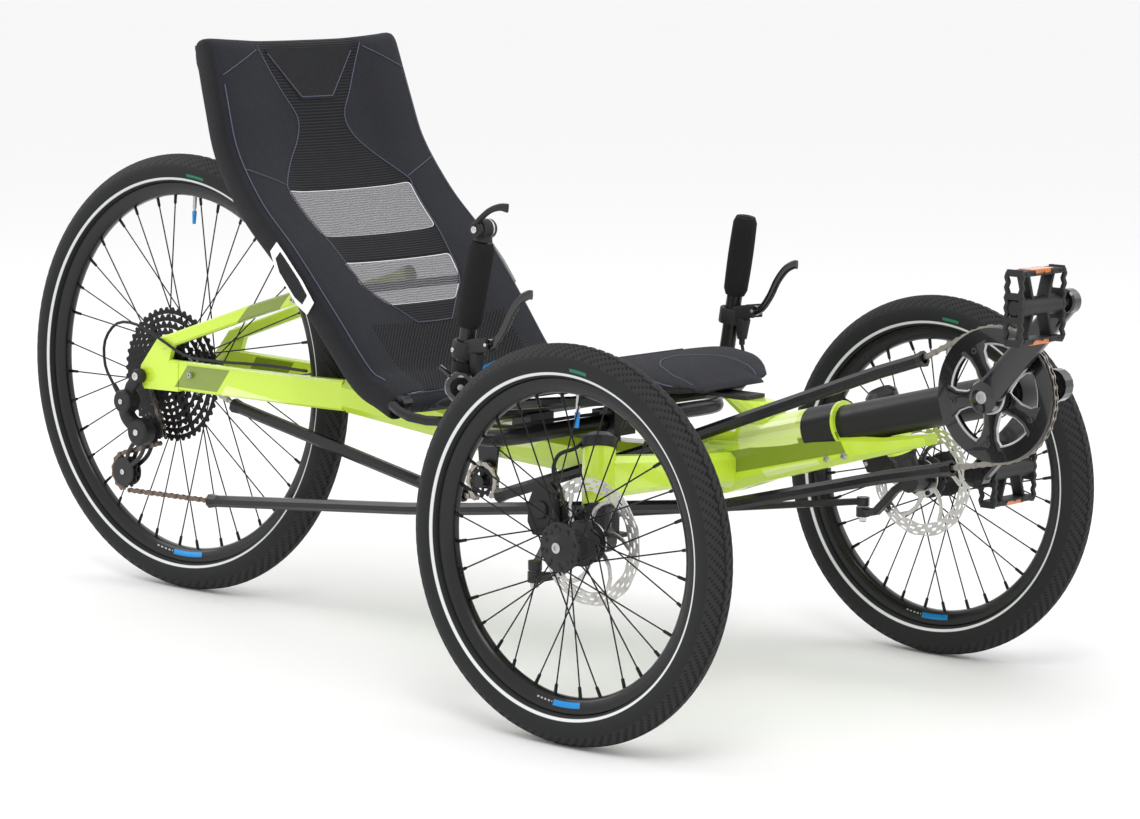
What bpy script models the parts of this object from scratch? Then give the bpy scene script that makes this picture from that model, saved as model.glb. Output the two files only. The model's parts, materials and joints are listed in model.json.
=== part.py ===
"""Adult recumbent tricycle with two steered front wheels and one driven rear wheel.

Metres. The rider faces -Y, +X is the rider's left and +Z is up. Every size is written in a design frame
whose origin is on the ground under the middle of the front axle. The root empty moves it to the middle of
the base.
"""

from math import acos, atan2, cos, hypot, pi, radians, sin

import bmesh
import bpy
from mathutils import Matrix, Vector

# Overall sizes
TRACK = 0.779
WHEELBASE = 1.091
GAP = 0.0003
RUNNING_GAP = 0.0005

# Wheels (ISO 47-406 in front, ISO 47-559 behind)
TYRE_WIDTH = 0.047
FRONT_BEAD_R = 0.203
REAR_BEAD_R = 0.2785
FLANGE_HEIGHT = 0.006
RIM_DEPTH = 0.020
RIM_WIDTH = 0.025
SPOKE_R = 0.0010
FRONT_SPOKES = 28
REAR_SPOKES = 32
AXLE_R = 0.008
REAR_AXLE_R = 0.0055
ROTOR_R = 0.080
ROTOR_THICKNESS = 0.0020
ROTOR_INSET = 0.039
HUB_NECK_R = 0.017

# Steering
KINGPIN_INSET = 0.0795
KINGPIN_Y = 0.0215
KINGPIN_RISE = 0.0735
KINGPIN_LEAN_X = -0.278
KINGPIN_LEAN_Y = 0.236
HOUSING_R = 0.021
HOUSING_HALF = 0.036
KINGPIN_R = 0.0095
ARM_END_INSET = 0.0445
ARM_END_Y = 0.095
TIE_ROD_Z = 0.194
TIE_ROD_R = 0.005
STEER_Y = 0.26
STEER_SHAFT_R = 0.010
STEER_ARM_LENGTH = 0.081
STEER_ARM_HALF = 0.02
CROSSBAR_Z = 0.338
BAR_R = 0.011
BAR_GAP = 0.0008
HOSE_R = 0.0025
HOSE_GAP = 0.0007
GRIP_HALF_SPAN = 0.272
GRIP_R = 0.0165
GRIP_TOP_Z = 0.598
GRIP_BOTTOM_Z = 0.484

# Main frame
BEAM_HALF = 0.030
BOOM_R = 0.025
BOOM_WALL = 0.003
BOOM_SLOPE = radians(14.7)
BOOM_REF_Y = -0.1506
BOOM_REF_Z = 0.3795
SLEEVE_WALL = 0.005
SLEEVE_FRONT_Y = -0.131
SLEEVE_DEPTH = 0.165
BOOM_INSERT = 0.115
SEAT_POST_R = 0.0225
ARM_HEIGHT = 0.046
ARM_WIDTH = 0.036

# Drive
CHAIN_X = -0.050
CHAIN_WIDTH = 0.0066
CHAIN_HEIGHT = 0.005
BRACKET_Y = -0.395
BRACKET_Z = 0.4435
BRACKET_SHELL_R = 0.0262
BRACKET_HALF = 0.034
SPINDLE_R = 0.012
CRANK_LENGTH = 0.170
CRANK_ANGLE = radians(48)
CHAINRING_TEETH = 38
CHAINRING_TIP_R = 0.0795
GUARD_R = 0.0835
CRANK_INNER_X = 0.068
CRANK_OUTER_X = 0.085
CRANK_EYE_R = 0.0155
PEDAL_LENGTH = 0.095
PEDAL_WIDTH = 0.090
PEDAL_THICKNESS = 0.026
TUBE_R = 0.009
TUBE_BORE_R = 0.0068
CHAIN_CLEARANCE = 0.0008
IDLER_X = -0.045
RETURN_X = -0.067
IDLER_Y = 0.456
IDLER_Z = 0.239
IDLER_R = 0.0225
COG_X = -0.056
SMALL_COG_R = 0.026
LARGE_COG_R = 0.100
COG_COUNT = 6
JOCKEY_BEHIND = 0.018
JOCKEY_Z = 0.242
JOCKEY_R = 0.021
LOWER_JOCKEY_BACK = 0.055
LOWER_JOCKEY_DOWN = 0.0675
LOWER_JOCKEY_R = 0.025
STAY_HALF_SPAN = 0.073
DROPOUT_THICKNESS = 0.008

# Seat
HINGE_Y = 0.483
HINGE_Z = 0.356
SEAT_HALF = 0.190
PAN_NOSE_Y = 0.046
PAN_FULL_Y = 0.205
PAN_NOSE_HALF = 0.060
RAIL_X = 0.178
RAIL_R = 0.007
BACK_THICKNESS = 0.024

# Worked-out places
HALF_TRACK = TRACK / 2
FRONT_TYRE_R = FRONT_BEAD_R + TYRE_WIDTH
REAR_TYRE_R = REAR_BEAD_R + TYRE_WIDTH
KINGPIN_Z = FRONT_TYRE_R + KINGPIN_RISE
SLEEVE_R = BOOM_R + SLEEVE_WALL
REAR_Y = WHEELBASE
PEDAL_DROP = Vector((0, -CRANK_LENGTH * cos(CRANK_ANGLE), CRANK_LENGTH * sin(CRANK_ANGLE)))
BRACKET = Vector((0, BRACKET_Y, BRACKET_Z))
FRONT_END_Y = BRACKET_Y + PEDAL_DROP.y - max(PEDAL_THICKNESS / 2, CRANK_EYE_R)
REAR_END_Y = REAR_Y + REAR_TYRE_R
MIDDLE_Y = (FRONT_END_Y + REAR_END_Y) / 2
REAR_CENTRE = Vector((0, REAR_Y, REAR_TYRE_R))
JOCKEY = Vector((COG_X, REAR_Y + JOCKEY_BEHIND, JOCKEY_Z))
LOWER_JOCKEY = JOCKEY + Vector((0, LOWER_JOCKEY_BACK, -LOWER_JOCKEY_DOWN))
IDLER = Vector((IDLER_X, IDLER_Y, IDLER_Z))
HINGE = Vector((0, HINGE_Y, HINGE_Z))
STEER = Vector((0, STEER_Y, CROSSBAR_Z))
X_AXIS = Vector((1, 0, 0))
Y_AXIS = Vector((0, 1, 0))
Z_AXIS = Vector((0, 0, 1))
SIDES = {"right": -1, "left": 1}


def clear_scene():
    for item in list(bpy.data.objects):
        bpy.data.objects.remove(item, do_unlink=True)


def paint(name, colour, roughness, metallic=0.0):
    """A plain material with one colour."""
    material = bpy.data.materials.new(name)
    material.use_nodes = True
    shader = material.node_tree.nodes["Principled BSDF"]
    shader.inputs["Base Color"].default_value = (*colour, 1.0)
    shader.inputs["Roughness"].default_value = roughness
    shader.inputs["Metallic"].default_value = metallic
    return material


def solid(points, faces):
    """A closed mesh object in the design frame, with its faces pointing out."""
    mesh = bpy.data.meshes.new("solid")
    mesh.from_pydata([tuple(point) for point in points], [], faces)
    shape = bmesh.new()
    shape.from_mesh(mesh)
    bmesh.ops.recalc_face_normals(shape, faces=shape.faces)
    shape.to_mesh(mesh)
    shape.free()
    item = bpy.data.objects.new("solid", mesh)
    bpy.context.scene.collection.objects.link(item)
    return item


def boolean(base, others, operation):
    """Applies one Boolean after another to base and removes the other shapes."""
    for other in others:
        modifier = base.modifiers.new(operation, "BOOLEAN")
        modifier.operation = operation
        modifier.object = other
        graph = bpy.context.evaluated_depsgraph_get()
        mesh = bpy.data.meshes.new_from_object(base.evaluated_get(graph))
        base.modifiers.clear()
        base.data = mesh
        bpy.data.objects.remove(other, do_unlink=True)
    return base


def union(base, *others):
    return boolean(base, others, "UNION")


def cut(base, *others):
    return boolean(base, others, "DIFFERENCE")


def node(name, shape, pivot, material, parent):
    """Names a finished shape and puts its origin on its joint."""
    shape.name = name
    shape.data.name = name
    shape.data.transform(Matrix.Translation(-Vector(pivot)))
    shape.parent = parent
    shape.location = Vector(pivot)
    shape.data.materials.clear()
    shape.data.materials.append(material)
    shape.data.shade_smooth()
    shape.data.set_sharp_from_angle(angle=radians(35))
    return shape


def turned(profile, centre, axis=X_AXIS, segments=24):
    """Turns (radius, distance along the axis) points about an axis through centre."""
    axis = Vector(axis).normalized()
    down = -Z_AXIS if abs(axis.z) < 0.8 else Y_AXIS
    first = (down - axis * down.dot(axis)).normalized()
    second = axis.cross(first)
    points = []
    rings = []
    for radius, along in profile:
        middle = Vector(centre) + axis * along
        if radius == 0:
            rings.append([len(points)] * segments)
            points.append(middle)
            continue
        rings.append(list(range(len(points), len(points) + segments)))
        for step in range(segments):
            angle = 2 * pi * step / segments
            points.append(middle + first * (radius * cos(angle)) + second * (radius * sin(angle)))
    closed = profile[0][0] != 0
    faces = []
    for index in range(len(rings) if closed else len(rings) - 1):
        low = rings[index]
        high = rings[(index + 1) % len(rings)]
        for step in range(segments):
            after = (step + 1) % segments
            corners = [low[step], low[after], high[after], high[step]]
            faces.append(list(dict.fromkeys(corners)))
    return solid(points, faces)


def rod(start, end, radius, segments=10):
    """A plain round bar between two points."""
    start = Vector(start)
    along = Vector(end) - start
    length = along.length
    return turned([(0, 0), (radius, 0), (radius, length), (0, length)], start, along, segments)


def smooth(points, steps):
    """Points along one smooth curve through the given ones."""
    points = [Vector(point) for point in points]
    padded = [points[0] * 2 - points[1], *points, points[-1] * 2 - points[-2]]
    curve = []
    for index in range(1, len(padded) - 2):
        before, start, end, after = padded[index - 1 : index + 3]
        for step in range(steps):
            t = step / steps
            bend = (before * 2 - start * 5 + end * 4 - after) * t**2
            twist = (start * 3 - before - end * 3 + after) * t**3
            curve.append((start * 2 + (end - before) * t + bend + twist) / 2)
    return [*curve, points[-1]]


def frames_along(points, up):
    """The place, sideways and upward directions at each point of a path. Without up they follow its bends."""
    frames = []
    carried = Vector((0.31, 0.52, 0.79))
    for index, point in enumerate(points):
        before = points[max(index - 1, 0)]
        after = points[min(index + 1, len(points) - 1)]
        into = (point - before).normalized() if index else (after - point).normalized()
        out = (after - point).normalized() if index < len(points) - 1 else into
        along = (into + out).normalized()
        side = along.cross(carried if up is None else up).normalized()
        carried = side.cross(along)
        frames.append((point, side, carried))
    return frames


def swept(points, section, up=Z_AXIS, bore=None):
    """Sweeps a section of (sideways, upward) points along a path, or one section for each point."""
    points = [Vector(point) for point in points]
    frames = frames_along(points, up)
    sections = section if isinstance(section[0], list) else [section] * len(points)
    count = len(sections[0])
    corners = []
    faces = []
    layers = [sections, [bore] * len(points)] if bore else [sections]
    for layer in layers:
        first = len(corners)
        for (place, side, rise), outline in zip(frames, layer):
            corners += [place + side * u + rise * v for u, v in outline]
        for ring in range(len(points) - 1):
            for step in range(count):
                after = (step + 1) % count
                low = first + ring * count
                faces.append([low + step, low + after, low + count + after, low + count + step])
    total = count * len(points)
    for start in (0, total - count):
        if bore:
            for step in range(count):
                after = (step + 1) % count
                faces.append([start + step, start + after, start + total + after, start + total + step])
        else:
            faces.append(list(range(start, start + count)))
    return solid(corners, faces)


def circle(radius, count=8, flat=1.0):
    """Section points on a circle, or on an ellipse when flat isn't 1."""
    turns = [2 * pi * (step + 0.5) / count for step in range(count)]
    return [(radius * cos(turn), radius * flat * sin(turn)) for turn in turns]


def rectangle(half_width, half_height, corner=0.0):
    """A rectangular section, with its corners cut off where corner isn't 0."""
    if not corner:
        return [
            (-half_width, -half_height), (half_width, -half_height), (half_width, half_height),
            (-half_width, half_height)
        ]
    wide = half_width - corner
    tall = half_height - corner
    return [
        (-wide, -half_height), (wide, -half_height), (half_width, -tall), (half_width, tall),
        (wide, half_height), (-wide, half_height), (-half_width, tall), (-half_width, -tall),
    ]


def slab(outline, low, high):
    """Extrudes a (y, z) outline along X between low and high."""
    count = len(outline)
    points = [(low, y, z) for y, z in outline] + [(high, y, z) for y, z in outline]
    faces = [list(range(count)), list(range(count, 2 * count))]
    for step in range(count):
        after = (step + 1) % count
        faces.append([step, after, count + after, count + step])
    return solid(points, faces)


def block(centre, size):
    """A box with its middle at centre."""
    x, y, z = centre
    half_x, half_y, half_z = (side / 2 for side in size)
    outline = [
        (y - half_y, z - half_z), (y + half_y, z - half_z), (y + half_y, z + half_z),
        (y - half_y, z + half_z)
    ]
    return slab(outline, x - half_x, x + half_x)


def toothed_ring(centre, tip, root, inner, teeth, low, high):
    """A flat ring with pointed teeth, between x = low and x = high."""
    count = 2 * teeth
    points = []
    for x in (low, high):
        for radius_of in (lambda step: tip if step % 2 else root, lambda step: inner):
            for step in range(count):
                angle = 2 * pi * step / count
                radius = radius_of(step)
                points.append((x, centre.y + radius * sin(angle), centre.z - radius * cos(angle)))
    faces = []
    for step in range(count):
        after = (step + 1) % count
        for first, second in ((0, 1), (1, 3), (3, 2), (2, 0)):
            low_ring = first * count
            high_ring = second * count
            faces.append([low_ring + step, low_ring + after, high_ring + after, high_ring + step])
    return solid(points, faces)


def boom_point(y, offset=0.0):
    """A point on the boom's axis at this y, moved by offset square to it."""
    z = BOOM_REF_Z + (BOOM_REF_Y - y) * sin(BOOM_SLOPE) / cos(BOOM_SLOPE)
    return Vector((0, y + offset * sin(BOOM_SLOPE), z + offset * cos(BOOM_SLOPE)))


# Wheels


def tyre(centre, bead_r, segments):
    """A round tyre whose flat base rests on the rim's two edges."""
    section_r = TYRE_WIDTH / 2
    middle_r = bead_r + section_r
    base_r = bead_r + FLANGE_HEIGHT
    opening = acos((middle_r - base_r) / section_r)
    count = 9
    profile = []
    for step in range(count + 1):
        turn = opening + (2 * pi - 2 * opening) * step / count
        profile.append((middle_r - section_r * cos(turn), section_r * sin(turn)))
    return turned(profile, centre, X_AXIS, segments)


def rim(centre, bead_r, segments):
    """A deep box rim that ends just inside the tyre's base."""
    outer = bead_r + FLANGE_HEIGHT - GAP
    inner = outer - RIM_DEPTH
    half = RIM_WIDTH / 2
    profile = [(outer, half * 0.96), (inner + RIM_DEPTH * 0.5, half), (inner, half * 0.6)]
    profile += [(radius, -x) for radius, x in reversed(profile)]
    return turned(profile, centre, X_AXIS, segments)


def spokes(centre, bead_r, flanges, flange_r, count):
    """Crossed spokes from the hub flanges to just inside the rim, as one loose mesh."""
    rim_r = bead_r + FLANGE_HEIGHT - RIM_DEPTH - 5 * GAP
    crossing = radians(58)
    root_r = flange_r * 0.86
    offset = 0.0022
    points = []
    faces = []
    for index in range(count):
        flange = flanges[index % 2]
        leading = 1 if (index // 2) % 2 else -1
        rim_angle = 2 * pi * (index + 0.5) / count
        hub_angle = rim_angle + leading * crossing
        start = centre + Vector(
            (flange + leading * offset, root_r * sin(hub_angle), -root_r * cos(hub_angle))
        )
        end = centre + Vector((0.12 * flange, rim_r * sin(rim_angle), -rim_r * cos(rim_angle)))
        along = (end - start).normalized()
        side = along.cross(X_AXIS).normalized()
        rise = side.cross(along)
        first = len(points)
        for place in (start, end):
            for turn in range(3):
                angle = 2 * pi * turn / 3
                points.append(place + side * (SPOKE_R * cos(angle)) + rise * (SPOKE_R * sin(angle)))
        faces += [[first, first + 1, first + 2], [first + 3, first + 4, first + 5]]
        faces += [
            [first + a, first + (a + 1) % 3, first + 3 + (a + 1) % 3, first + 3 + a] for a in range(3)
        ]
    return solid(points, faces)


def front_hub(centre, side):
    """A one-sided hub: blind bore for the stub axle, two flanges and a neck for the rotor."""
    bore = AXLE_R + RUNNING_GAP
    neck_end = -ROTOR_INSET - 0.005
    profile = [
        (0, 0.026), (0.013, 0.026), (0.018, 0.022), (0.030, 0.021), (0.030, 0.014), (0.019, 0.012),
        (0.019, -0.017), (0.029, -0.019), (0.029, -0.026), (HUB_NECK_R, -0.028), (HUB_NECK_R, neck_end),
        (bore, neck_end), (bore, 0.014), (0, 0.014),
    ]
    hub = turned(profile, centre, X_AXIS * side, 16)
    return union(hub, spokes(centre, FRONT_BEAD_R, (side * 0.0175, side * -0.0225), 0.029, FRONT_SPOKES))


def rear_hub():
    """A hub with a bore right through it and a long core that carries the cassette."""
    bore = REAR_AXLE_R + RUNNING_GAP
    profile = [
        (bore, 0.060), (0.014, 0.060), (0.017, 0.040), (0.029, 0.036), (0.029, 0.029), (0.018, 0.027),
        (0.018, -0.011), (0.029, -0.013), (0.029, -0.020), (0.0155, -0.0205), (0.0155, -0.060),
        (bore, -0.060),
    ]
    hub = turned(profile, REAR_CENTRE, X_AXIS, 16)
    return union(hub, spokes(REAR_CENTRE, REAR_BEAD_R, (0.0325, -0.0165), 0.028, REAR_SPOKES))


def rotor(centre, side):
    """A flat brake disc on the hub's neck."""
    x = centre.x - side * ROTOR_INSET
    half = ROTOR_THICKNESS / 2
    inner = HUB_NECK_R + GAP
    profile = [(inner, -half), (ROTOR_R, -half), (ROTOR_R, half), (inner, half)]
    return turned(profile, (x, centre.y, centre.z), X_AXIS, 28)


def cassette():
    """Sprockets that grow from the small one beside the dropout to the large one beside the spokes."""
    bore = 0.0155 + RUNNING_GAP
    thickness = 0.0024
    pitch = 0.0052
    profile = [(bore, COG_X - 0.0045)]
    for index in range(COG_COUNT):
        x = COG_X - thickness / 2 + index * pitch
        share = (index / (COG_COUNT - 1)) ** 1.15
        radius = SMALL_COG_R + (LARGE_COG_R - SMALL_COG_R) * share
        core = 0.021 if index else 0.0195
        profile += [(core, x), (radius, x), (radius, x + thickness)]
        profile.append((0.021, x + thickness))
    profile.append((bore, profile[-1][1]))
    return turned(profile, REAR_CENTRE, X_AXIS, 20)


# Steering


def kingpin_centre(side):
    return Vector((side * (HALF_TRACK - KINGPIN_INSET), KINGPIN_Y, KINGPIN_Z))


def kingpin_axis(side):
    rise = (1 - KINGPIN_LEAN_X**2 - KINGPIN_LEAN_Y**2) ** 0.5
    return Vector((side * KINGPIN_LEAN_X, KINGPIN_LEAN_Y, rise))


def arm_end(side):
    return Vector((side * (HALF_TRACK - ARM_END_INSET), ARM_END_Y, TIE_ROD_Z))


def cross_arm(side):
    """A box arm from the beam to the kingpin housing, with a gusset below it."""
    centre = kingpin_centre(side)
    start = Vector((side * BEAM_HALF * 0.5, 0.046, 0.299))
    tall = ARM_HEIGHT / 2
    wide = ARM_WIDTH / 2
    middle = start.lerp(centre, 0.45) + Vector((0, 0, 0.002))
    end = centre - Vector((side * HOUSING_R * 0.4, 0, 0))
    sections = [
        rectangle(wide * 1.1, tall * 1.02, 0.008),
        rectangle(wide, tall * 0.92, 0.008),
        rectangle(wide * 0.92, tall * 1.15, 0.008),
    ]
    arm = swept([start, middle, end], sections)
    axis = kingpin_axis(side)
    housing = turned(
        [
            (0, -HOUSING_HALF), (HOUSING_R, -HOUSING_HALF), (HOUSING_R, HOUSING_HALF), (0, HOUSING_HALF)
        ], centre, axis, 20
    )
    bore = rod(centre - axis * 0.06, centre + axis * 0.06, KINGPIN_R + RUNNING_GAP, 16)
    beside = block((0, 0.046, 0.300), (2 * (BEAM_HALF + GAP), 0.2, 0.2))
    return cut(union(arm, housing), bore, beside)


def knuckle(side):
    """Kingpin with its cap, stub axle, brake lug and steering arm in one forging."""
    centre = kingpin_centre(side)
    axis = kingpin_axis(side)
    wheel = Vector((side * HALF_TRACK, 0, FRONT_TYRE_R))
    cap_low = HOUSING_HALF + RUNNING_GAP
    foot = -HOUSING_HALF - RUNNING_GAP
    pin = turned(
        [
            (0, foot - 0.040), (0.015, foot - 0.040), (0.017, foot - 0.010),
            (HOUSING_R - 0.001, foot - 0.004),
            (HOUSING_R - 0.001, foot), (KINGPIN_R, foot), (KINGPIN_R, cap_low),
            (HOUSING_R + 0.002, cap_low),
            (HOUSING_R + 0.002, cap_low + 0.013), (0.016, cap_low + 0.019), (0, cap_low + 0.019),
        ],
        centre, axis, 16,
    )
    inner = wheel - X_AXIS * side * (ROTOR_INSET + 0.032)
    shoulder = wheel - X_AXIS * side * (ROTOR_INSET + 0.0065)
    boss = rod(inner, shoulder, 0.017, 14)
    axle = rod(inner, wheel + X_AXIS * side * 0.012, AXLE_R, 12)
    end = arm_end(side)
    root = wheel - X_AXIS * side * (ROTOR_INSET + 0.020)
    bend = end + Vector((-side * 0.009, -0.030, 0.004))
    path = smooth([root, root + Vector((0, 0.030, -0.018)), bend, end], 2)
    arm = swept(path, rectangle(0.006, 0.0055, 0.002))
    eye = rod(end - Z_AXIS * 0.008, end + Z_AXIS * 0.0055, 0.0095, 10)
    lug = swept([root + Vector((0, 0, 0.005)), root + Vector((0, 0.040, 0.020))], rectangle(0.0045, 0.016))
    return union(pin, boss, axle, arm, eye, lug)


def caliper(side):
    """A brake caliper with a slot that straddles the rotor behind the axle."""
    x = side * (HALF_TRACK - ROTOR_INSET)
    outline = [
        (0.046, 0.262), (0.084, 0.250), (0.093, 0.268), (0.086, 0.306), (0.064, 0.318), (0.050, 0.296)
    ]
    body = slab(outline, x - 0.013, x + 0.013)
    slot = block((x, 0.055, 0.280), (ROTOR_THICKNESS + 0.003, 0.072, 0.072))
    lever = rod((x - side * 0.0128, 0.072, 0.285), (x - side * 0.020, 0.072, 0.285), 0.011, 10)
    return union(cut(body, slot), lever)


def tie_rod(side):
    """A rod from above the knuckle's arm to above the steering arm, with a ball-joint head at each end."""
    outer = arm_end(side) + Z_AXIS * 0.0135
    inner = Vector((side * STEER_ARM_HALF, STEER_Y + STEER_ARM_LENGTH, TIE_ROD_Z + 0.003))
    bar = rod(outer, inner, TIE_ROD_R, 8)
    heads = []
    for place in (outer, inner):
        heads.append(rod(place - Z_AXIS * 0.006, place + Z_AXIS * 0.006, 0.009, 10))
    return union(bar, *heads)


def bar_path():
    """The under-seat handlebar from the right grip's top, down and across to the left grip's top."""
    half = [
        (GRIP_HALF_SPAN, 0.254, GRIP_TOP_Z), (GRIP_HALF_SPAN + 0.003, 0.266, 0.535),
        (GRIP_HALF_SPAN + 0.004, 0.277, 0.471),
        (GRIP_HALF_SPAN + 0.003, 0.288, 0.400), (GRIP_HALF_SPAN - 0.004, 0.296, 0.358),
        (GRIP_HALF_SPAN - 0.028, STEER_Y + 0.022, CROSSBAR_Z + 0.002),
        (GRIP_HALF_SPAN - 0.062, STEER_Y, CROSSBAR_Z),
        (0.10, STEER_Y, CROSSBAR_Z),
    ]
    right = [Vector((-x, y, z)) for x, y, z in half]
    left = [Vector(point) for point in reversed(half)]
    return smooth([*right, *left], 2)


def handlebar():
    """One bent tube, from grip to grip."""
    return swept(bar_path(), circle(BAR_R, 8), None)


def steering_stem():
    """Clamp on the handlebar, shaft down through the beam and the arm that works both tie rods."""
    clamp = block((0, STEER_Y, CROSSBAR_Z), (0.044, 0.040, 0.034))
    hole = rod((-0.05, STEER_Y, CROSSBAR_Z), (0.05, STEER_Y, CROSSBAR_Z), BAR_R + BAR_GAP, 20)
    plate_z = TIE_ROD_Z - 0.0105
    shaft = rod((0, STEER_Y, plate_z), (0, STEER_Y, CROSSBAR_Z - 0.0145), STEER_SHAFT_R, 14)
    end_y = STEER_Y + STEER_ARM_LENGTH
    wide = STEER_ARM_HALF + 0.010
    arm = swept(
        [(0, STEER_Y - 0.016, plate_z), (0, STEER_Y + 0.02, plate_z), (0, end_y + 0.012, plate_z)],
        [rectangle(0.014, 0.003), rectangle(0.016, 0.003), rectangle(wide, 0.003)],
    )
    return union(cut(clamp, hole), shaft, arm)


def on_grip(share):
    """A point on a right-hand grip's axis, from 0 at its bottom to 1 at its top."""
    points = bar_path()
    z = GRIP_BOTTOM_Z + (GRIP_TOP_Z - GRIP_BOTTOM_Z) * share
    for low, high in zip(points, points[1:]):
        if high.z <= z <= low.z:
            return low.lerp(high, (low.z - z) / (low.z - high.z))
    return points[0]


def grip(side):
    """A foam sleeve round the top of the bar."""
    places = [on_grip(share) for share in (0.0, 0.25, 0.5, 0.75, 1.0)]
    places = [Vector((side * abs(place.x), place.y, place.z)) for place in places]
    return swept(places, circle(GRIP_R, 10), Y_AXIS, circle(BAR_R + 2 * BAR_GAP, 10))


def lever_pivot(side):
    return Vector((side * (GRIP_HALF_SPAN + 0.004), 0.236, 0.468))


def brake_body(side):
    """The lever's perch: a clamp round the bar and a fork that holds the lever's pin."""
    pivot = lever_pivot(side)
    bar = Vector((side * (GRIP_HALF_SPAN + 0.004), 0.2792, 0.458))
    lean = Vector((0, -0.16, 1)).normalized()
    ring = rod(bar - lean * 0.012, bar + lean * 0.012, 0.0175, 12)
    body = swept([bar, pivot + Vector((0, 0.014, -0.003))], rectangle(0.011, 0.010, 0.004))
    horn = swept([pivot + Vector((0, 0.018, 0)), pivot + Vector((0, -0.005, 0))], rectangle(0.011, 0.008))
    slot = block(pivot + Vector((0, 0.001, 0)), (0.012, 0.026, 0.030))
    pin = rod(pivot - X_AXIS * 0.009, pivot + X_AXIS * 0.009, 0.0025, 8)
    hole = rod(bar - lean * 0.03, bar + lean * 0.03, BAR_R + 2 * BAR_GAP, 14)
    barrel = rod(bar + Vector((0, -0.012, -0.008)), bar + Vector((0, -0.016, -0.030)), 0.004, 8)
    return union(cut(union(ring, body, horn, barrel), slot, hole), pin)


def brake_lever(side):
    """A slim blade that curves up in front of the grip."""
    pivot = lever_pivot(side)
    path = smooth(
        [
            pivot + Vector((0, 0.006, -0.002)), pivot + Vector((0, -0.016, 0.012)),
            pivot + Vector((0, -0.034, 0.040)),
            pivot + Vector((0, -0.050, 0.062)), pivot + Vector((0, -0.068, 0.068)),
        ],
        3,
    )
    blade = swept(path, rectangle(0.0052, 0.004, 0.0015))
    hole = rod(pivot - X_AXIS * 0.02, pivot + X_AXIS * 0.02, 0.0025 + GAP, 8)
    return cut(blade, hole)


def shifter_centre():
    return Vector((-GRIP_HALF_SPAN, 0.2515, GRIP_TOP_Z + 0.0175))


def shifter_body():
    """A bar-end shifter: a plug on the bar's end and a drum with a stub for the lever."""
    centre = shifter_centre()
    drum = rod(centre - X_AXIS * 0.012, centre + X_AXIS * 0.012, 0.0125, 14)
    neck = rod((-GRIP_HALF_SPAN, 0.254, GRIP_TOP_Z + 0.0035), centre, 0.0105, 10)
    stub = rod(centre - X_AXIS * 0.020, centre, 0.004, 10)
    return union(drum, neck, stub)


def shifter_lever():
    centre = shifter_centre() - X_AXIS * 0.0165
    eye = rod(centre - X_AXIS * 0.0032, centre + X_AXIS * 0.0038, 0.010, 12)
    offsets = [(0, 0), (-0.016, 0.020), (-0.036, 0.030), (-0.052, 0.031)]
    path = smooth([centre + Vector((0, y, z)) for y, z in offsets], 2)
    blade = swept(path, [rectangle(0.0030, 0.004)] * (len(path) - 2) + [rectangle(0.0032, 0.003)] * 2)
    hole = rod(centre - X_AXIS * 0.02, centre + X_AXIS * 0.02, 0.004 + GAP, 10)
    return cut(union(eye, blade), hole)


# Frame


def main_beam():
    """The tapered beam with the boom's sleeve, the seat post and the yoke in front of the rear wheel."""
    yoke_y = REAR_Y - REAR_TYRE_R - 0.050
    stations = [
        (-0.262, 0.362, 0.376, 0.014),
        (-0.200, 0.344, 0.366, 0.020),
        (-0.128, 0.3235, 0.362, 0.026),
        (0.000, 0.286, 0.352, BEAM_HALF),
        (0.060, 0.265, 0.348, BEAM_HALF),
        (0.130, 0.261, 0.320, BEAM_HALF),
        (0.300, 0.262, 0.312, BEAM_HALF),
        (0.450, 0.270, 0.318, BEAM_HALF),
        (yoke_y - 0.150, 0.2865, 0.336, BEAM_HALF + 0.002),
        (yoke_y + 0.008, 0.3100, 0.3560, BEAM_HALF + 0.030),
    ]
    path = [Vector((0, y, (low + high) / 2)) for y, low, high, _ in stations]
    sections = [
        rectangle(half, (high - low) / 2, min(0.011, (high - low) * 0.22)) for _, low, high,
        half in stations
    ]
    beam = swept(path, sections)
    front = boom_point(SLEEVE_FRONT_Y)
    along = (boom_point(SLEEVE_FRONT_Y + 1) - front).normalized()
    sleeve = rod(front, front + along * SLEEVE_DEPTH, SLEEVE_R, 24)
    post_low = Vector((0, -0.012, 0.3629))
    post = rod(post_low, post_low + Vector((0, 0.0835, 0.055)), SEAT_POST_R, 16)
    post_top = block((0, 0.05, 0.4420), (0.10, 0.20, 0.10))
    bore = rod(front - along * 0.20, front + along * (SLEEVE_DEPTH - 0.012), BOOM_R + GAP, 24)
    shaft_hole = rod((0, STEER_Y, 0.2), (0, STEER_Y, 0.4), STEER_SHAFT_R + RUNNING_GAP, 16)
    behind_yoke = block((0, yoke_y + 0.05, 0.333), (0.3, 0.1, 0.2))
    return cut(union(beam, sleeve, cut(post, post_top)), bore, shaft_hole, behind_yoke)


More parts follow.
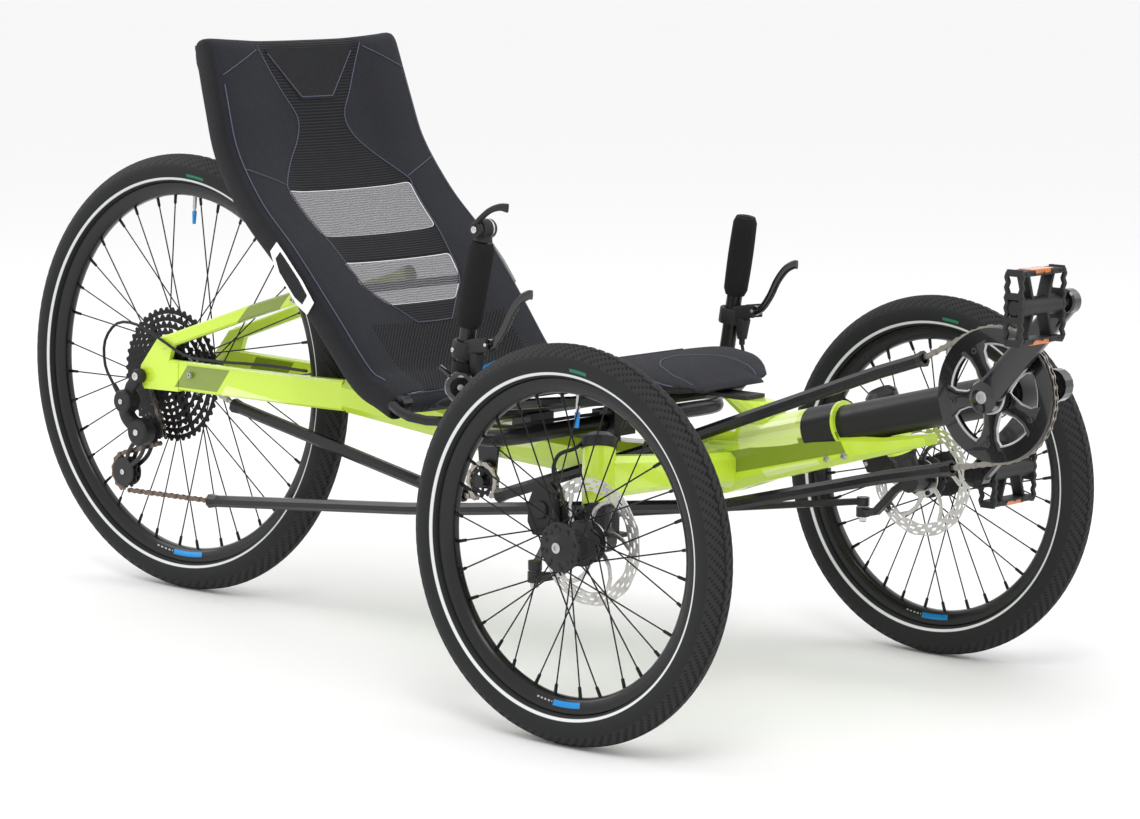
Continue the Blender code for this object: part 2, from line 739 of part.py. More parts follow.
def rear_stay(side):
    """Chainstay, seat stay and dropout of one side. The left one carries the through axle."""
    outer = side * STAY_HALF_SPAN
    start_y = REAR_Y - REAR_TYRE_R - 0.050 + GAP
    in_front = block((outer, start_y - 0.05, 0.33), (0.2, 0.1, 0.2))
    axle_z = REAR_TYRE_R
    stay_end = Vector((outer, REAR_Y - 0.030, axle_z + 0.008))
    stay = swept(
        [(side * 0.0465, start_y - 0.01, 0.3325), (side * 0.0585, start_y + 0.09, 0.3325), stay_end],
        [
            rectangle(0.0085, 0.0220, 0.003), rectangle(0.0080, 0.0215, 0.003),
            rectangle(DROPOUT_THICKNESS / 2, 0.022, 0.002)
        ],
    )
    plate = slab(
        [
            (REAR_Y - 0.060, axle_z - 0.016), (REAR_Y + 0.012, axle_z - 0.018),
            (REAR_Y + 0.020, axle_z - 0.006),
            (REAR_Y + 0.019, axle_z + 0.016), (REAR_Y - 0.016, axle_z + 0.058),
            (REAR_Y - 0.034, axle_z + 0.066),
            (REAR_Y - 0.052, axle_z + 0.058), (REAR_Y - 0.040, axle_z + 0.026),
            (REAR_Y - 0.060, axle_z + 0.026),
        ],
        outer - DROPOUT_THICKNESS / 2, outer + DROPOUT_THICKNESS / 2,
    )
    top = Vector((side * 0.060, 0.700, 0.4975))
    seat_stay = swept(
        [(outer, REAR_Y - 0.026, axle_z + 0.052), (side * 0.066, REAR_Y - 0.20, axle_z + 0.112), top],
        rectangle(0.0070, 0.0095, 0.0025),
    )
    pad = rod(top + Vector((0, 0.010, -0.003)), top + Vector((0, -0.006, 0.0025)), 0.013, 12)
    frame = union(cut(stay, in_front), plate, seat_stay, pad)
    if side > 0:
        return union(
            frame, rod((-outer - 0.0035, REAR_Y, axle_z), (outer + 0.008, REAR_Y, axle_z), REAR_AXLE_R, 12)
        )
    hole = rod((2 * outer, REAR_Y, axle_z), (0, REAR_Y, axle_z), REAR_AXLE_R + GAP, 12)
    return cut(frame, hole)


def boom():
    """The sliding boom: an open tube with the bottom-bracket shell across its front end."""
    rear = boom_point(SLEEVE_FRONT_Y + BOOM_INSERT * cos(BOOM_SLOPE))
    front = BRACKET.copy()
    along = (front - rear).normalized()
    length = (front - rear).length
    tube = turned(
        [(BOOM_R, 0), (BOOM_R, length), (BOOM_R - BOOM_WALL, length), (BOOM_R - BOOM_WALL, 0)], rear, along,
        24
    )
    shell = rod(front - X_AXIS * BRACKET_HALF, front + X_AXIS * BRACKET_HALF, BRACKET_SHELL_R, 20)
    bore = rod(front - X_AXIS * 0.06, front + X_AXIS * 0.06, SPINDLE_R + RUNNING_GAP, 16)
    return cut(union(tube, shell), bore)


# Cranks and pedals


def crank_arm(side, end):
    """A tapering arm from the bracket to the pedal."""
    inner = side * CRANK_INNER_X
    outer = side * CRANK_OUTER_X
    middle = (inner + outer) / 2
    half = abs(outer - inner) / 2
    start = Vector((middle, BRACKET.y, BRACKET.z))
    finish = Vector((middle, end.y, end.z))
    thin = half - 0.0008
    sections = [
        rectangle(thin, 0.017, 0.003), rectangle(thin, 0.0135, 0.003), rectangle(thin, 0.014, 0.003)
    ]
    arm = swept([start, start.lerp(finish, 0.5), finish], sections, X_AXIS.cross(finish - start))
    eye = rod((inner, end.y, end.z), (outer, end.y, end.z), CRANK_EYE_R, 14)
    boss = rod((inner, BRACKET.y, BRACKET.z), (outer, BRACKET.y, BRACKET.z), 0.021, 16)
    return union(arm, eye, boss)


def crank_right():
    """The drive-side crank with its spider and guard ring."""
    end = BRACKET + PEDAL_DROP
    arm = crank_arm(-1, end)
    chainring_face = CHAIN_X - 0.0015 - GAP
    face = CHAIN_X - CHAIN_WIDTH / 2 - 2 * GAP
    boss = rod(
        (face - 0.0005, BRACKET.y, BRACKET.z), (-CRANK_INNER_X - 0.004, BRACKET.y, BRACKET.z), 0.019, 16
    )
    arms = []
    for index in range(5):
        angle = CRANK_ANGLE + 2 * pi * index / 5
        tip = Vector((0, -cos(angle), sin(angle))) * (GUARD_R - 0.006)
        middle = BRACKET + Vector((face - 0.0026, 0, 0))
        sections = [rectangle(0.013, 0.0022), rectangle(0.0085, 0.0022), rectangle(0.012, 0.0022)]
        arms.append(swept([middle, middle + tip * 0.4, middle + tip], sections, X_AXIS))
        bolt = BRACKET + tip * 0.87
        arms.append(rod((chainring_face, bolt.y, bolt.z), (face - 0.003, bolt.y, bolt.z), 0.005, 8))
    inner = GUARD_R - 0.011
    profile = [(inner, -0.0055), (GUARD_R, -0.0055), (GUARD_R, 0), (inner, 0)]
    guard = turned(profile, (face, BRACKET.y, BRACKET.z), X_AXIS, 36)
    seat = rod(
        (0, BRACKET.y, BRACKET.z), (-CRANK_INNER_X - 0.0103, BRACKET.y, BRACKET.z), SPINDLE_R + GAP, 18
    )
    return cut(union(arm, boss, *arms, guard), seat)


def crank_left():
    """The left crank with the spindle that runs through the bracket."""
    inner = Vector((-CRANK_INNER_X - 0.010, BRACKET.y, BRACKET.z))
    spindle = rod(inner, Vector((CRANK_INNER_X + 0.004, BRACKET.y, BRACKET.z)), SPINDLE_R, 16)
    return union(crank_arm(1, BRACKET - PEDAL_DROP), spindle)


def pedal_centre(side):
    drop = PEDAL_DROP if side < 0 else -PEDAL_DROP
    return BRACKET + drop + X_AXIS * side * (CRANK_OUTER_X + GAP)


def pedal(side):
    """A cage pedal: an open frame round a barrel, on an axle that meets the crank."""
    start = pedal_centre(side)
    middle = start + X_AXIS * side * (0.012 + PEDAL_LENGTH / 2)
    cage = block(middle, (PEDAL_LENGTH, PEDAL_THICKNESS, PEDAL_WIDTH))
    windows = []
    for place in (-1, 1):
        offset = Vector((0, 0, place * PEDAL_WIDTH * 0.26))
        windows.append(
            block(middle + offset, (PEDAL_LENGTH * 0.80, PEDAL_THICKNESS * 2, PEDAL_WIDTH * 0.27))
        )
    barrel = rod(start, middle + X_AXIS * side * PEDAL_LENGTH * 0.45, 0.0105, 10)
    return union(cut(cage, *windows), barrel)


# Chain and its tubes


def side_point(y, z, x=CHAIN_X):
    return Vector((x, y, z))


def tangent(centre, radius, outside, turn):
    """Where a line from an outside point touches a circle in the chain's plane. turn picks one of the two."""
    away_y = outside.y - centre.y
    away_z = outside.z - centre.z
    distance = hypot(away_y, away_z)
    angle = atan2(away_z, away_y) + turn * acos(radius / distance)
    return side_point(centre.y + radius * cos(angle), centre.z + radius * sin(angle), centre.x), angle


def arc(centre, radius, start, end, steps):
    """Points on a circle in the chain's plane between two angles."""
    places = []
    for step in range(steps + 1):
        angle = start + (end - start) * step / steps
        places.append(side_point(centre.y + radius * cos(angle), centre.z + radius * sin(angle), centre.x))
    return places


def chain(points):
    return swept(points, rectangle(CHAIN_HEIGHT / 2, CHAIN_WIDTH / 2), X_AXIS)


def upper_tube_points():
    bend = side_point(0.071, 0.3455, CHAIN_X + 0.001)
    touch, _ = tangent(IDLER, IDLER_R + CHAIN_CLEARANCE + CHAIN_HEIGHT / 2, bend, 1)
    return [touch.lerp(bend, 0.058), bend, side_point(-0.217, 0.455), side_point(-0.284, 0.4776)]


def rear_tube_points():
    bend = side_point(0.572, 0.2245, IDLER_X - 0.002)
    touch, _ = tangent(IDLER, IDLER_R + CHAIN_CLEARANCE + CHAIN_HEIGHT / 2, bend, -1)
    return [side_point(REAR_Y - 0.156, 0.297, COG_X + 0.001), bend, touch.lerp(bend, 0.27)]


def return_tube_points():
    return [
        side_point(REAR_Y - 0.109, 0.151, COG_X - 0.002), side_point(0.577, 0.189, RETURN_X),
        side_point(0.470, 0.201, RETURN_X),
        side_point(0.0245, 0.2575, CHAIN_X - 0.008), side_point(-0.2205, 0.321, CHAIN_X - 0.001),
        side_point(-0.330, 0.3456),
    ]


def chain_tube(points):
    """A tube that guides the chain, with a flared mouth at each end."""
    wide = circle(TUBE_R * 1.22)
    plain = circle(TUBE_R)
    places = [
        points[0], points[0].lerp(points[1], 0.04), *points[1:-1], points[-1].lerp(points[-2], 0.12),
        points[-1]
    ]
    sections = [wide] + [plain] * (len(places) - 2) + [wide]
    return swept(places, sections, X_AXIS, circle(TUBE_BORE_R))


def chain_front():
    """The span that leaves the upper tube, wraps the chainring and enters the lower tube."""
    radius = CHAINRING_TIP_R + CHAIN_CLEARANCE + CHAIN_HEIGHT / 2
    upper = upper_tube_points()
    lower = return_tube_points()
    ring = side_point(BRACKET.y, BRACKET.z)
    _, top_angle = tangent(ring, radius, upper[-1], 1)
    _, bottom_angle = tangent(ring, radius, lower[-1], -1)
    wrap = arc(ring, radius, top_angle, bottom_angle + 2 * pi, 16)
    inner_top = upper[-1].lerp(upper[-2], 0.50)
    inner_bottom = lower[-1].lerp(lower[-2], 0.30)
    return chain([inner_top, upper[-1], *wrap, lower[-1], inner_bottom])


def chain_idler():
    """The short span under the idler pulley, between the two upper tubes."""
    radius = IDLER_R + CHAIN_CLEARANCE + CHAIN_HEIGHT / 2
    back = rear_tube_points()
    front = upper_tube_points()
    _, enter_angle = tangent(IDLER, radius, back[-1], -1)
    _, leave_angle = tangent(IDLER, radius, front[0], 1)
    inner_back = back[-1].lerp(back[-2], 0.2)
    inner_front = front[0].lerp(front[1], 0.05)
    return chain([inner_back, *arc(IDLER, radius, enter_angle, leave_angle, 4), inner_front])


def jockey_angles():
    """The angles at which the chain crosses from the upper jockey's front to the lower jockey's back."""
    upper_r = JOCKEY_R + CHAIN_CLEARANCE + CHAIN_HEIGHT / 2
    lower_r = LOWER_JOCKEY_R + CHAIN_CLEARANCE + CHAIN_HEIGHT / 2
    line = LOWER_JOCKEY - JOCKEY
    heading = atan2(line.z, line.y)
    swing = acos((upper_r + lower_r) / line.length)
    return upper_r, lower_r, heading - swing, heading - swing + pi


def chain_rear():
    """The span from the rear tube over the small sprocket, round it and down to the upper jockey wheel."""
    radius = SMALL_COG_R + CHAIN_CLEARANCE + CHAIN_HEIGHT / 2
    cog = side_point(REAR_CENTRE.y, REAR_CENTRE.z, COG_X)
    tube = rear_tube_points()
    _, top_angle = tangent(cog, radius, tube[0], -1)
    upper_r, _, _, _ = jockey_angles()
    line = JOCKEY - cog
    heading = atan2(line.z, line.y)
    swing = acos((radius + upper_r) / line.length)
    leave = heading + swing
    arrive = leave + pi
    inner = tube[0].lerp(tube[1], 0.07)
    wrap = arc(cog, radius, top_angle + 2 * pi, leave, 8)
    rest = arc(JOCKEY, upper_r, arrive, arrive + 0.70, 3)
    return chain([inner, tube[0], *wrap, *rest])


def chain_cage():
    """The span that rides on the derailleur's cage, from the upper jockey to under the lower one."""
    upper_r, lower_r, upper_angle, lower_angle = jockey_angles()
    start = arc(JOCKEY, upper_r, upper_angle - 0.50, upper_angle, 2)
    tube = return_tube_points()
    _, end_angle = tangent(LOWER_JOCKEY, lower_r, tube[0], 1)
    while end_angle > lower_angle:
        end_angle -= 2 * pi
    wrap = arc(LOWER_JOCKEY, lower_r, lower_angle, end_angle, 6)
    return chain([*start, *wrap])


def chain_return():
    """The span from the lower jockey wheel to inside the long return tube."""
    _, lower_r, _, _ = jockey_angles()
    tube = return_tube_points()
    touch, _ = tangent(LOWER_JOCKEY, lower_r, tube[0], 1)
    start = touch.lerp(tube[0], 0.02)
    return chain([start, tube[0], tube[0].lerp(tube[1], 0.07)])


def pulley(centre, radius, bore):
    """A jockey wheel with a waist that shows its teeth and bearing apart."""
    half = 0.0042
    profile = [
        (bore, -half), (radius * 0.55, -half), (radius * 0.6, -0.0012), (radius, -0.0012),
        (radius, 0.0012), (radius * 0.6, 0.0012), (radius * 0.55, half), (bore, half),
    ]
    return turned(profile, centre, X_AXIS, 16)


def idler_bracket():
    """A plate on the beam's right side with the idler's bolt."""
    face = -BEAM_HALF - 0.0015 - GAP
    outline = [
        (IDLER_Y - 0.012, IDLER_Z - 0.012), (IDLER_Y + 0.012, IDLER_Z - 0.012), (IDLER_Y + 0.020, 0.300),
        (IDLER_Y - 0.020, 0.300)
    ]
    plate = slab(outline, face - 0.004, face)
    bolt = rod((face - 0.001, IDLER_Y, IDLER_Z), (IDLER_X - 0.0075, IDLER_Y, IDLER_Z), 0.004, 10)
    spacer = rod((face - 0.002, IDLER_Y, IDLER_Z), (IDLER_X + 0.0047, IDLER_Y, IDLER_Z), 0.007, 12)
    head = rod((IDLER_X - 0.0047, IDLER_Y, IDLER_Z), (IDLER_X - 0.009, IDLER_Y, IDLER_Z), 0.009, 14)
    return union(plate, spacer, bolt, head)


def derailleur_body():
    """Hanger bolt, upper knuckle, slanted link and lower knuckle of the rear derailleur."""
    outer = -STAY_HALF_SPAN - DROPOUT_THICKNESS / 2 - GAP
    hanger = Vector((outer - 0.006, REAR_Y + 0.014, REAR_TYRE_R + 0.001))
    upper = Vector((outer - 0.006, REAR_Y + 0.040, 0.287))
    lower = Vector((COG_X - 0.019, JOCKEY.y, JOCKEY.z))
    lug = rod(hanger - X_AXIS * 0.005, hanger + X_AXIS * 0.0055, 0.011, 12)
    link_top = swept([hanger, upper], rectangle(0.009, 0.0045), X_AXIS)
    knee = rod(upper - X_AXIS * 0.012, upper + X_AXIS * 0.012, 0.018, 14)
    link = swept(
        [upper + Vector((0.002, 0.004, -0.006)), upper.lerp(lower, 0.5) + Vector((0, 0.012, -0.004)), lower],
        rectangle(0.013, 0.009, 0.003), X_AXIS
    )
    foot = rod(lower - X_AXIS * 0.014, Vector((COG_X - 0.0098, lower.y, lower.z)), 0.021, 16)
    return union(lug, link_top, knee, link, foot)


def derailleur_cage():
    """Two plates that carry both jockey wheels, joined by the wheels' bolts."""
    plates = []
    for low in (COG_X - 0.0090, COG_X + 0.0060):
        middle = low + 0.0015
        path = [Vector((middle, JOCKEY.y, JOCKEY.z)), Vector((middle, LOWER_JOCKEY.y, LOWER_JOCKEY.z))]
        strip = swept(path, [rectangle(0.009, 0.0015), rectangle(0.012, 0.0015)], X_AXIS)
        ends = [
            rod((low, place.y, place.z), (low + 0.003, place.y, place.z), radius, 14)
            for place, radius in ((JOCKEY, 0.013), (LOWER_JOCKEY, 0.019))
        ]
        plates.append(union(strip, *ends))
    reach = X_AXIS * 0.0085
    bolts = [rod(place - reach, place + reach, 0.0028, 8) for place in (JOCKEY, LOWER_JOCKEY)]
    return union(plates[0], plates[1], *bolts)


# Seat


def pan_half_width(y):
    """Half the seat pan's width at this y: a narrow nose that widens to the full seat."""
    share = min(max((y - PAN_NOSE_Y) / (PAN_FULL_Y - PAN_NOSE_Y), 0.0), 1.0)
    return PAN_NOSE_HALF + (SEAT_HALF - PAN_NOSE_HALF) * sin(share * pi / 2) ** 0.8


def seat_pan():
    """The padded pan: narrow rounded nose, high crest and a dip towards the hinge."""
    stations = [
        (0.046, 0.414, 0.4005), (0.056, 0.428, 0.400), (0.085, 0.440, 0.4005), (0.125, 0.444, 0.403),
        (0.170, 0.440, 0.402),
        (0.215, 0.430, 0.396), (0.280, 0.413, 0.3865), (0.350, 0.392, 0.3735), (0.428, 0.366, 0.350),
    ]
    path = [Vector((0, y, (top + low) / 2)) for y, top, low in stations]
    sections = []
    for y, top, low in stations:
        half = pan_half_width(y)
        tall = (top - low) / 2
        right = [(half * 0.8, -tall), (half, -tall * 0.3), (half, tall * 0.4), (half * 0.86, tall)]
        left = [(-across, rise) for across, rise in reversed(right)]
        sections.append([left[-1], *right, (0, tall * 0.86), *left[:-1]])
    return swept(path, sections)


def pan_frame():
    """Tubes under the pan, the crosspiece on the beam and the two hinge bolts."""
    half = [
        (RAIL_X + 0.0190, HINGE_Y, HINGE_Z), (RAIL_X + 0.0190, HINGE_Y - 0.030, HINGE_Z - 0.012),
        (RAIL_X - 0.004, 0.405, 0.340),
        (RAIL_X - 0.012, 0.340, 0.3640), (RAIL_X - 0.014, 0.270, 0.3765), (RAIL_X - 0.018, 0.210, 0.3850),
        (RAIL_X - 0.055, 0.138, 0.3905),
        (RAIL_X - 0.125, 0.110, 0.3900),
    ]
    right = [Vector((-x, y, z)) for x, y, z in half]
    left = [Vector(point) for point in reversed(half)]
    hoop = swept(smooth([*right, *left], 2), circle(RAIL_R, 8), None)
    cross = rod((-RAIL_X + 0.004, 0.405, 0.340), (RAIL_X - 0.004, 0.405, 0.340), 0.0095, 10)
    foot = block((0, 0.405, 0.3272), (0.048, 0.034, 0.0185))
    nose = block((0, 0.067, 0.3952), (0.040, 0.096, 0.0050))
    bolts = []
    for side in SIDES.values():
        head = HINGE + X_AXIS * side * (RAIL_X + 0.0225)
        bolts.append(rod(head, HINGE + X_AXIS * side * (RAIL_X - 0.010), 0.0055, 10))
    return union(hoop, cross, foot, nose, *bolts)


def back_line():
    """The backrest's middle line from just above the hinge to its top, as (y, z) points."""
    return [
        (0.517, 0.3750), (0.547, 0.391), (0.608, 0.463), (0.680, 0.543), (0.748, 0.606), (0.800, 0.676),
        (0.826, 0.745), (0.851, 0.822)
    ]


def back_path(offset, steps=2):
    """The backrest's line as points in the middle plane, moved back from the rider by offset."""
    points = smooth([Vector((0, y, z)) for y, z in back_line()], steps)
    result = []
    for index, place in enumerate(points):
        before = points[max(index - 1, 0)]
        after = points[min(index + 1, len(points) - 1)]
        along = (after - before).normalized()
        result.append(place + Vector((0, along.z, -along.y)) * offset)
    return result


def backrest_pad():
    """The padded sling of the backrest, widest at the shoulders' height."""
    path = back_path(0)
    sections = []
    for index, place in enumerate(path):
        share = index / (len(path) - 1)
        half = SEAT_HALF + 0.012 * sin(pi * share) - 0.004 * share
        thick = BACK_THICKNESS / 2
        sections.append(
            [(-half, -thick), (0, -thick), (half, -thick), (half, thick), (0, thick), (-half, thick)]
        )
    return swept(path, sections, Vector((0, -1, 0.6)))


def backrest_frame():
    """Two side tubes behind the pad, three cross tubes and the eyes that turn on the hinge bolts."""
    behind = BACK_THICKNESS / 2 + RAIL_R + 0.0012
    line = back_path(behind)
    start = HINGE + Vector((0, 0.006, -0.003))
    tubes = []
    for side in SIDES.values():
        points = [start + X_AXIS * side * RAIL_X] + [place + X_AXIS * side * RAIL_X for place in line]
        tubes.append(swept(points, circle(RAIL_R, 8), X_AXIS))
        eye_low = HINGE + X_AXIS * side * (RAIL_X - 0.009)
        eye_high = HINGE + X_AXIS * side * (RAIL_X + 0.0095)
        tubes.append(rod(eye_low, eye_high, 0.0125, 14))
    reach = X_AXIS * RAIL_X
    crosses = [rod(line[index] - reach, line[index] + reach, RAIL_R * 0.92, 8) for index in (5, 9, 14)]
    bore = rod(HINGE - X_AXIS * 0.3, HINGE + X_AXIS * 0.3, 0.0055 + GAP, 12)
    return cut(union(tubes[0], *tubes[1:], *crosses), bore)


# Cables


def cable(points, radius, steps=3):
    """A round cable along one smooth curve through its points."""
    return swept(smooth(points, steps), circle(radius, 8), None)


def shift_cable():
    """The shift cable from beside the right stay, in one loop behind the axle, to the derailleur."""
    x = -STAY_HALF_SPAN - 0.0085
    points = [
        (x + 0.010, REAR_Y - 0.320, 0.364), (x + 0.008, REAR_Y - 0.240, 0.365), (x, REAR_Y - 0.140, 0.3625),
        (x - 0.001, REAR_Y - 0.080, 0.3660),
        (x - 0.002, REAR_Y - 0.030, 0.3850), (x - 0.002, REAR_Y + 0.020, 0.4020),
        (x, REAR_Y + 0.065, 0.4000), (x, REAR_Y + 0.092, 0.3720),
        (x, REAR_Y + 0.092, 0.3350), (x, REAR_Y + 0.074, 0.3080),
    ]
    return cable(points, 0.0022)


def brake_hose(side):
    """The brake hose from the lever's barrel down the bar and in along the crossbar."""
    x = GRIP_HALF_SPAN + 0.004
    over = CROSSBAR_Z + BAR_R + HOSE_R + HOSE_GAP
    points = [
        (x, 0.2620, 0.4250), (x, 0.2560, 0.3950), (x - 0.006, 0.2620, 0.3650),
        (x - 0.040, 0.2450, over + 0.0038),
        (x - 0.080, STEER_Y - 0.004, over + 0.0003), (x - 0.130, STEER_Y, over), (x - 0.190, STEER_Y, over),
        (x - 0.240, STEER_Y - 0.004, over),
    ]
    return cable([(side * px, y, z) for px, y, z in points], HOSE_R)


def build():
    clear_scene()
    lime = paint("lime_paint", (0.62, 0.83, 0.045), 0.25)
    black = paint("black_metal", (0.012, 0.012, 0.013), 0.35, 0.6)
    plastic = paint("black_plastic", (0.016, 0.016, 0.018), 0.45)
    rubber = paint("rubber", (0.02, 0.02, 0.021), 0.8)
    foam = paint("foam", (0.018, 0.018, 0.019), 0.95)
    fabric = paint("fabric", (0.022, 0.023, 0.028), 0.9)
    steel = paint("steel", (0.62, 0.62, 0.60), 0.3, 1.0)
    chain_steel = paint("chain_steel", (0.30, 0.22, 0.17), 0.4, 0.9)

    root = bpy.data.objects.new("tricycle", None)
    bpy.context.scene.collection.objects.link(root)
    root.location = (0, -MIDDLE_Y, 0)

    ground = Vector((0, 0, 0))
    node("main_beam", main_beam(), ground, lime, root)
    node("chain_tube_power_front", chain_tube(upper_tube_points()), ground, plastic, root)
    node("chain_tube_power_rear", chain_tube(rear_tube_points()), ground, plastic, root)
    node("chain_tube_return", chain_tube(return_tube_points()), ground, plastic, root)
    node("chain_idler_span", chain_idler(), ground, chain_steel, root)
    node("chain_rear_span", chain_rear(), ground, chain_steel, root)
    node("chain_return_span", chain_return(), ground, chain_steel, root)
    node("idler_bracket", idler_bracket(), ground, black, root)
    node("derailleur_body", derailleur_body(), ground, plastic, root)
    node("shift_cable", shift_cable(), ground, rubber, root)
    node("seat_pan", seat_pan(), ground, fabric, root)
    node("pan_frame", pan_frame(), ground, black, root)
    node("backrest_pad", backrest_pad(), HINGE, fabric, root)
    node("backrest_frame", backrest_frame(), HINGE, black, root)
    node("boom", boom(), boom_point(SLEEVE_FRONT_Y), black, root)
    node("chain_front_span", chain_front(), boom_point(SLEEVE_FRONT_Y), chain_steel, root)
    ring = toothed_ring(
        BRACKET, CHAINRING_TIP_R, CHAINRING_TIP_R - 0.006, 0.062, CHAINRING_TEETH, CHAIN_X - 0.0015,
        CHAIN_X + 0.0015
    )
    node("chainring", ring, BRACKET, black, root)
    node("crank_right", crank_right(), BRACKET, black, root)
    node("crank_left", crank_left(), BRACKET, black, root)
    node("idler_pulley", pulley(IDLER, IDLER_R, 0.004 + RUNNING_GAP), IDLER, plastic, root)
    node("jockey_upper", pulley(JOCKEY, JOCKEY_R, 0.0028 + RUNNING_GAP), JOCKEY, plastic, root)
    node(
        "jockey_lower", pulley(LOWER_JOCKEY, LOWER_JOCKEY_R, 0.0028 + RUNNING_GAP), LOWER_JOCKEY, plastic,
        root
    )
    node("derailleur_cage", derailleur_cage(), JOCKEY, black, root)
    node("chain_cage_span", chain_cage(), JOCKEY, chain_steel, root)
    node("cassette", cassette(), REAR_CENTRE, black, root)
    node("rear_tyre", tyre(REAR_CENTRE, REAR_BEAD_R, 44), REAR_CENTRE, rubber, root)
    node("rear_rim", rim(REAR_CENTRE, REAR_BEAD_R, 44), REAR_CENTRE, black, root)
    node("rear_hub_spokes", rear_hub(), REAR_CENTRE, black, root)
    node("handlebar", handlebar(), STEER, black, root)
    node("steering_stem", steering_stem(), STEER, black, root)
    node("shifter_body", shifter_body(), STEER, plastic, root)
    node("shifter_lever", shifter_lever(), shifter_centre(), plastic, root)
    for name, side in SIDES.items():
        wheel = Vector((side * HALF_TRACK, 0, FRONT_TYRE_R))
        pin = kingpin_centre(side)
        node(f"cross_arm_{name}", cross_arm(side), ground, lime, root)
        node(f"rear_stay_{name}", rear_stay(side), ground, lime, root)
        node(f"knuckle_{name}", knuckle(side), pin, black, root)
        node(f"caliper_{name}", caliper(side), pin, plastic, root)
        node(f"tie_rod_{name}", tie_rod(side), arm_end(side), black, root)
        node(f"front_tyre_{name}", tyre(wheel, FRONT_BEAD_R, 36), wheel, rubber, root)
        node(f"front_rim_{name}", rim(wheel, FRONT_BEAD_R, 36), wheel, black, root)
        node(f"front_hub_spokes_{name}", front_hub(wheel, side), wheel, black, root)
        node(f"rotor_{name}", rotor(wheel, side), wheel, steel, root)
        node(f"pedal_{name}", pedal(side), pedal_centre(side), plastic, root)
        node(f"grip_{name}", grip(side), STEER, foam, root)
        node(f"brake_body_{name}", brake_body(side), STEER, plastic, root)
        node(f"brake_lever_{name}", brake_lever(side), lever_pivot(side), black, root)
        node(f"brake_hose_{name}", brake_hose(side), STEER, rubber, root)


build()
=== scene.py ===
"""Looks of the adult recumbent tricycle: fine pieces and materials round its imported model.

Metres. The rider faces -Y and +X is the rider's left. at(x, y, z) takes y measured back from the front axle.
"""

import json
from math import acos, atan2, cos, hypot, pi, radians, sin

import bmesh
import bpy
from mathutils import Matrix, Vector
from mathutils.bvhtree import BVHTree


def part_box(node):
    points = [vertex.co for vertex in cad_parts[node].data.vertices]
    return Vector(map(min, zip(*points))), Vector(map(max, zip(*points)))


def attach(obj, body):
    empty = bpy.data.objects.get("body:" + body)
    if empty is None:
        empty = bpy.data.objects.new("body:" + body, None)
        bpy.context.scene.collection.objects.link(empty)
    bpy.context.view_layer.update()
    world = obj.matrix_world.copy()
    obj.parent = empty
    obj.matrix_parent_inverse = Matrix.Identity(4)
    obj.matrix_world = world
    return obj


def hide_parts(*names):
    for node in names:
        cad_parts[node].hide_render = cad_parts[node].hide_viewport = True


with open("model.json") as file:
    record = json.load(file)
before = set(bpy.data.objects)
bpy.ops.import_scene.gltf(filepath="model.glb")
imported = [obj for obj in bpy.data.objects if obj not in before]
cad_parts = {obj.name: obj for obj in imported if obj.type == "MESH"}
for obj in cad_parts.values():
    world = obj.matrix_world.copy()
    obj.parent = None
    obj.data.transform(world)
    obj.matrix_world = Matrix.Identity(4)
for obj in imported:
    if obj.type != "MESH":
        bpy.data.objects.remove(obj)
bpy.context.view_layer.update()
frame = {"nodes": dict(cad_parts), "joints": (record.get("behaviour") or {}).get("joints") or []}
NODES = frame["nodes"]
PIVOTS = {joint["name"]: Vector(joint["pos_m"]) for joint in frame["joints"] if "pos_m" in joint}
X = Vector((1, 0, 0))
Y = Vector((0, 1, 0))
Z = Vector((0, 0, 1))
SIDES = {"right": -1, "left": 1}
FRONT_AXLE_Y = PIVOTS["front_wheel_right_spin"].y
REAR_R = PIVOTS["rear_wheel_spin"].z
TYRE_WIDTH = 0.047
TYRE_RINGS = 36
FLANGE_HEIGHT = 0.006
RIM_DEPTH = 0.02
RIM_HALF = 0.0125
TREAD_SEGMENTS = 432
TREAD_HEIGHT = 0.0145
SIPE_SPACING = 4
SIPE_DEPTH = 0.0016
BRACKET = PIVOTS["crank_spin"]
HINGE = PIVOTS["backrest_fold"]
JOCKEY = PIVOTS["derailleur_cage_swing"]
LOWER_JOCKEY = PIVOTS["jockey_lower_spin"]
IDLER = PIVOTS["idler_spin"]
COG_X = JOCKEY.x
COG = Vector((COG_X, PIVOTS["rear_wheel_spin"].y, REAR_R))
CHAIN_X = -0.05
CHAIN_GAP = 0.0008
CHAIN_HEIGHT = 0.005
CHAIN_PITCH = 0.0127
CHAINRING_R = 0.0795
GUARD_R = 0.0835
CRANK_X = 0.0765
IDLER_R = 0.0225
COGS = 9
COG_SPACING = 0.003
SMALL_COG_R = 0.026
LARGE_COG_R = 0.1
JOCKEY_R = 0.021
LOWER_JOCKEY_R = 0.025
BOOM_SLOPE = radians(14.7)
BOOM_AXIS = Vector((0, -cos(BOOM_SLOPE), sin(BOOM_SLOPE)))


def at(x, y, z):
    """A place with y measured back from the front axle."""
    return Vector((x, y + FRONT_AXLE_Y, z))


SLEEVE_FRONT = at(0, -0.131, 0.3744)

# Shapes


def smooth(points, steps):
    """Points along one smooth curve through the given ones."""
    points = [Vector(point) for point in points]
    padded = [points[0] * 2 - points[1], *points, points[-1] * 2 - points[-2]]
    curve = []
    for index in range(1, len(padded) - 2):
        before, start, end, after = padded[index - 1 : index + 3]
        for step in range(steps):
            t = step / steps
            bend = (before * 2 - start * 5 + end * 4 - after) * t**2
            twist = (start * 3 - before - end * 3 + after) * t**3
            curve.append((start * 2 + (end - before) * t + bend + twist) / 2)
    return [*curve, points[-1]]


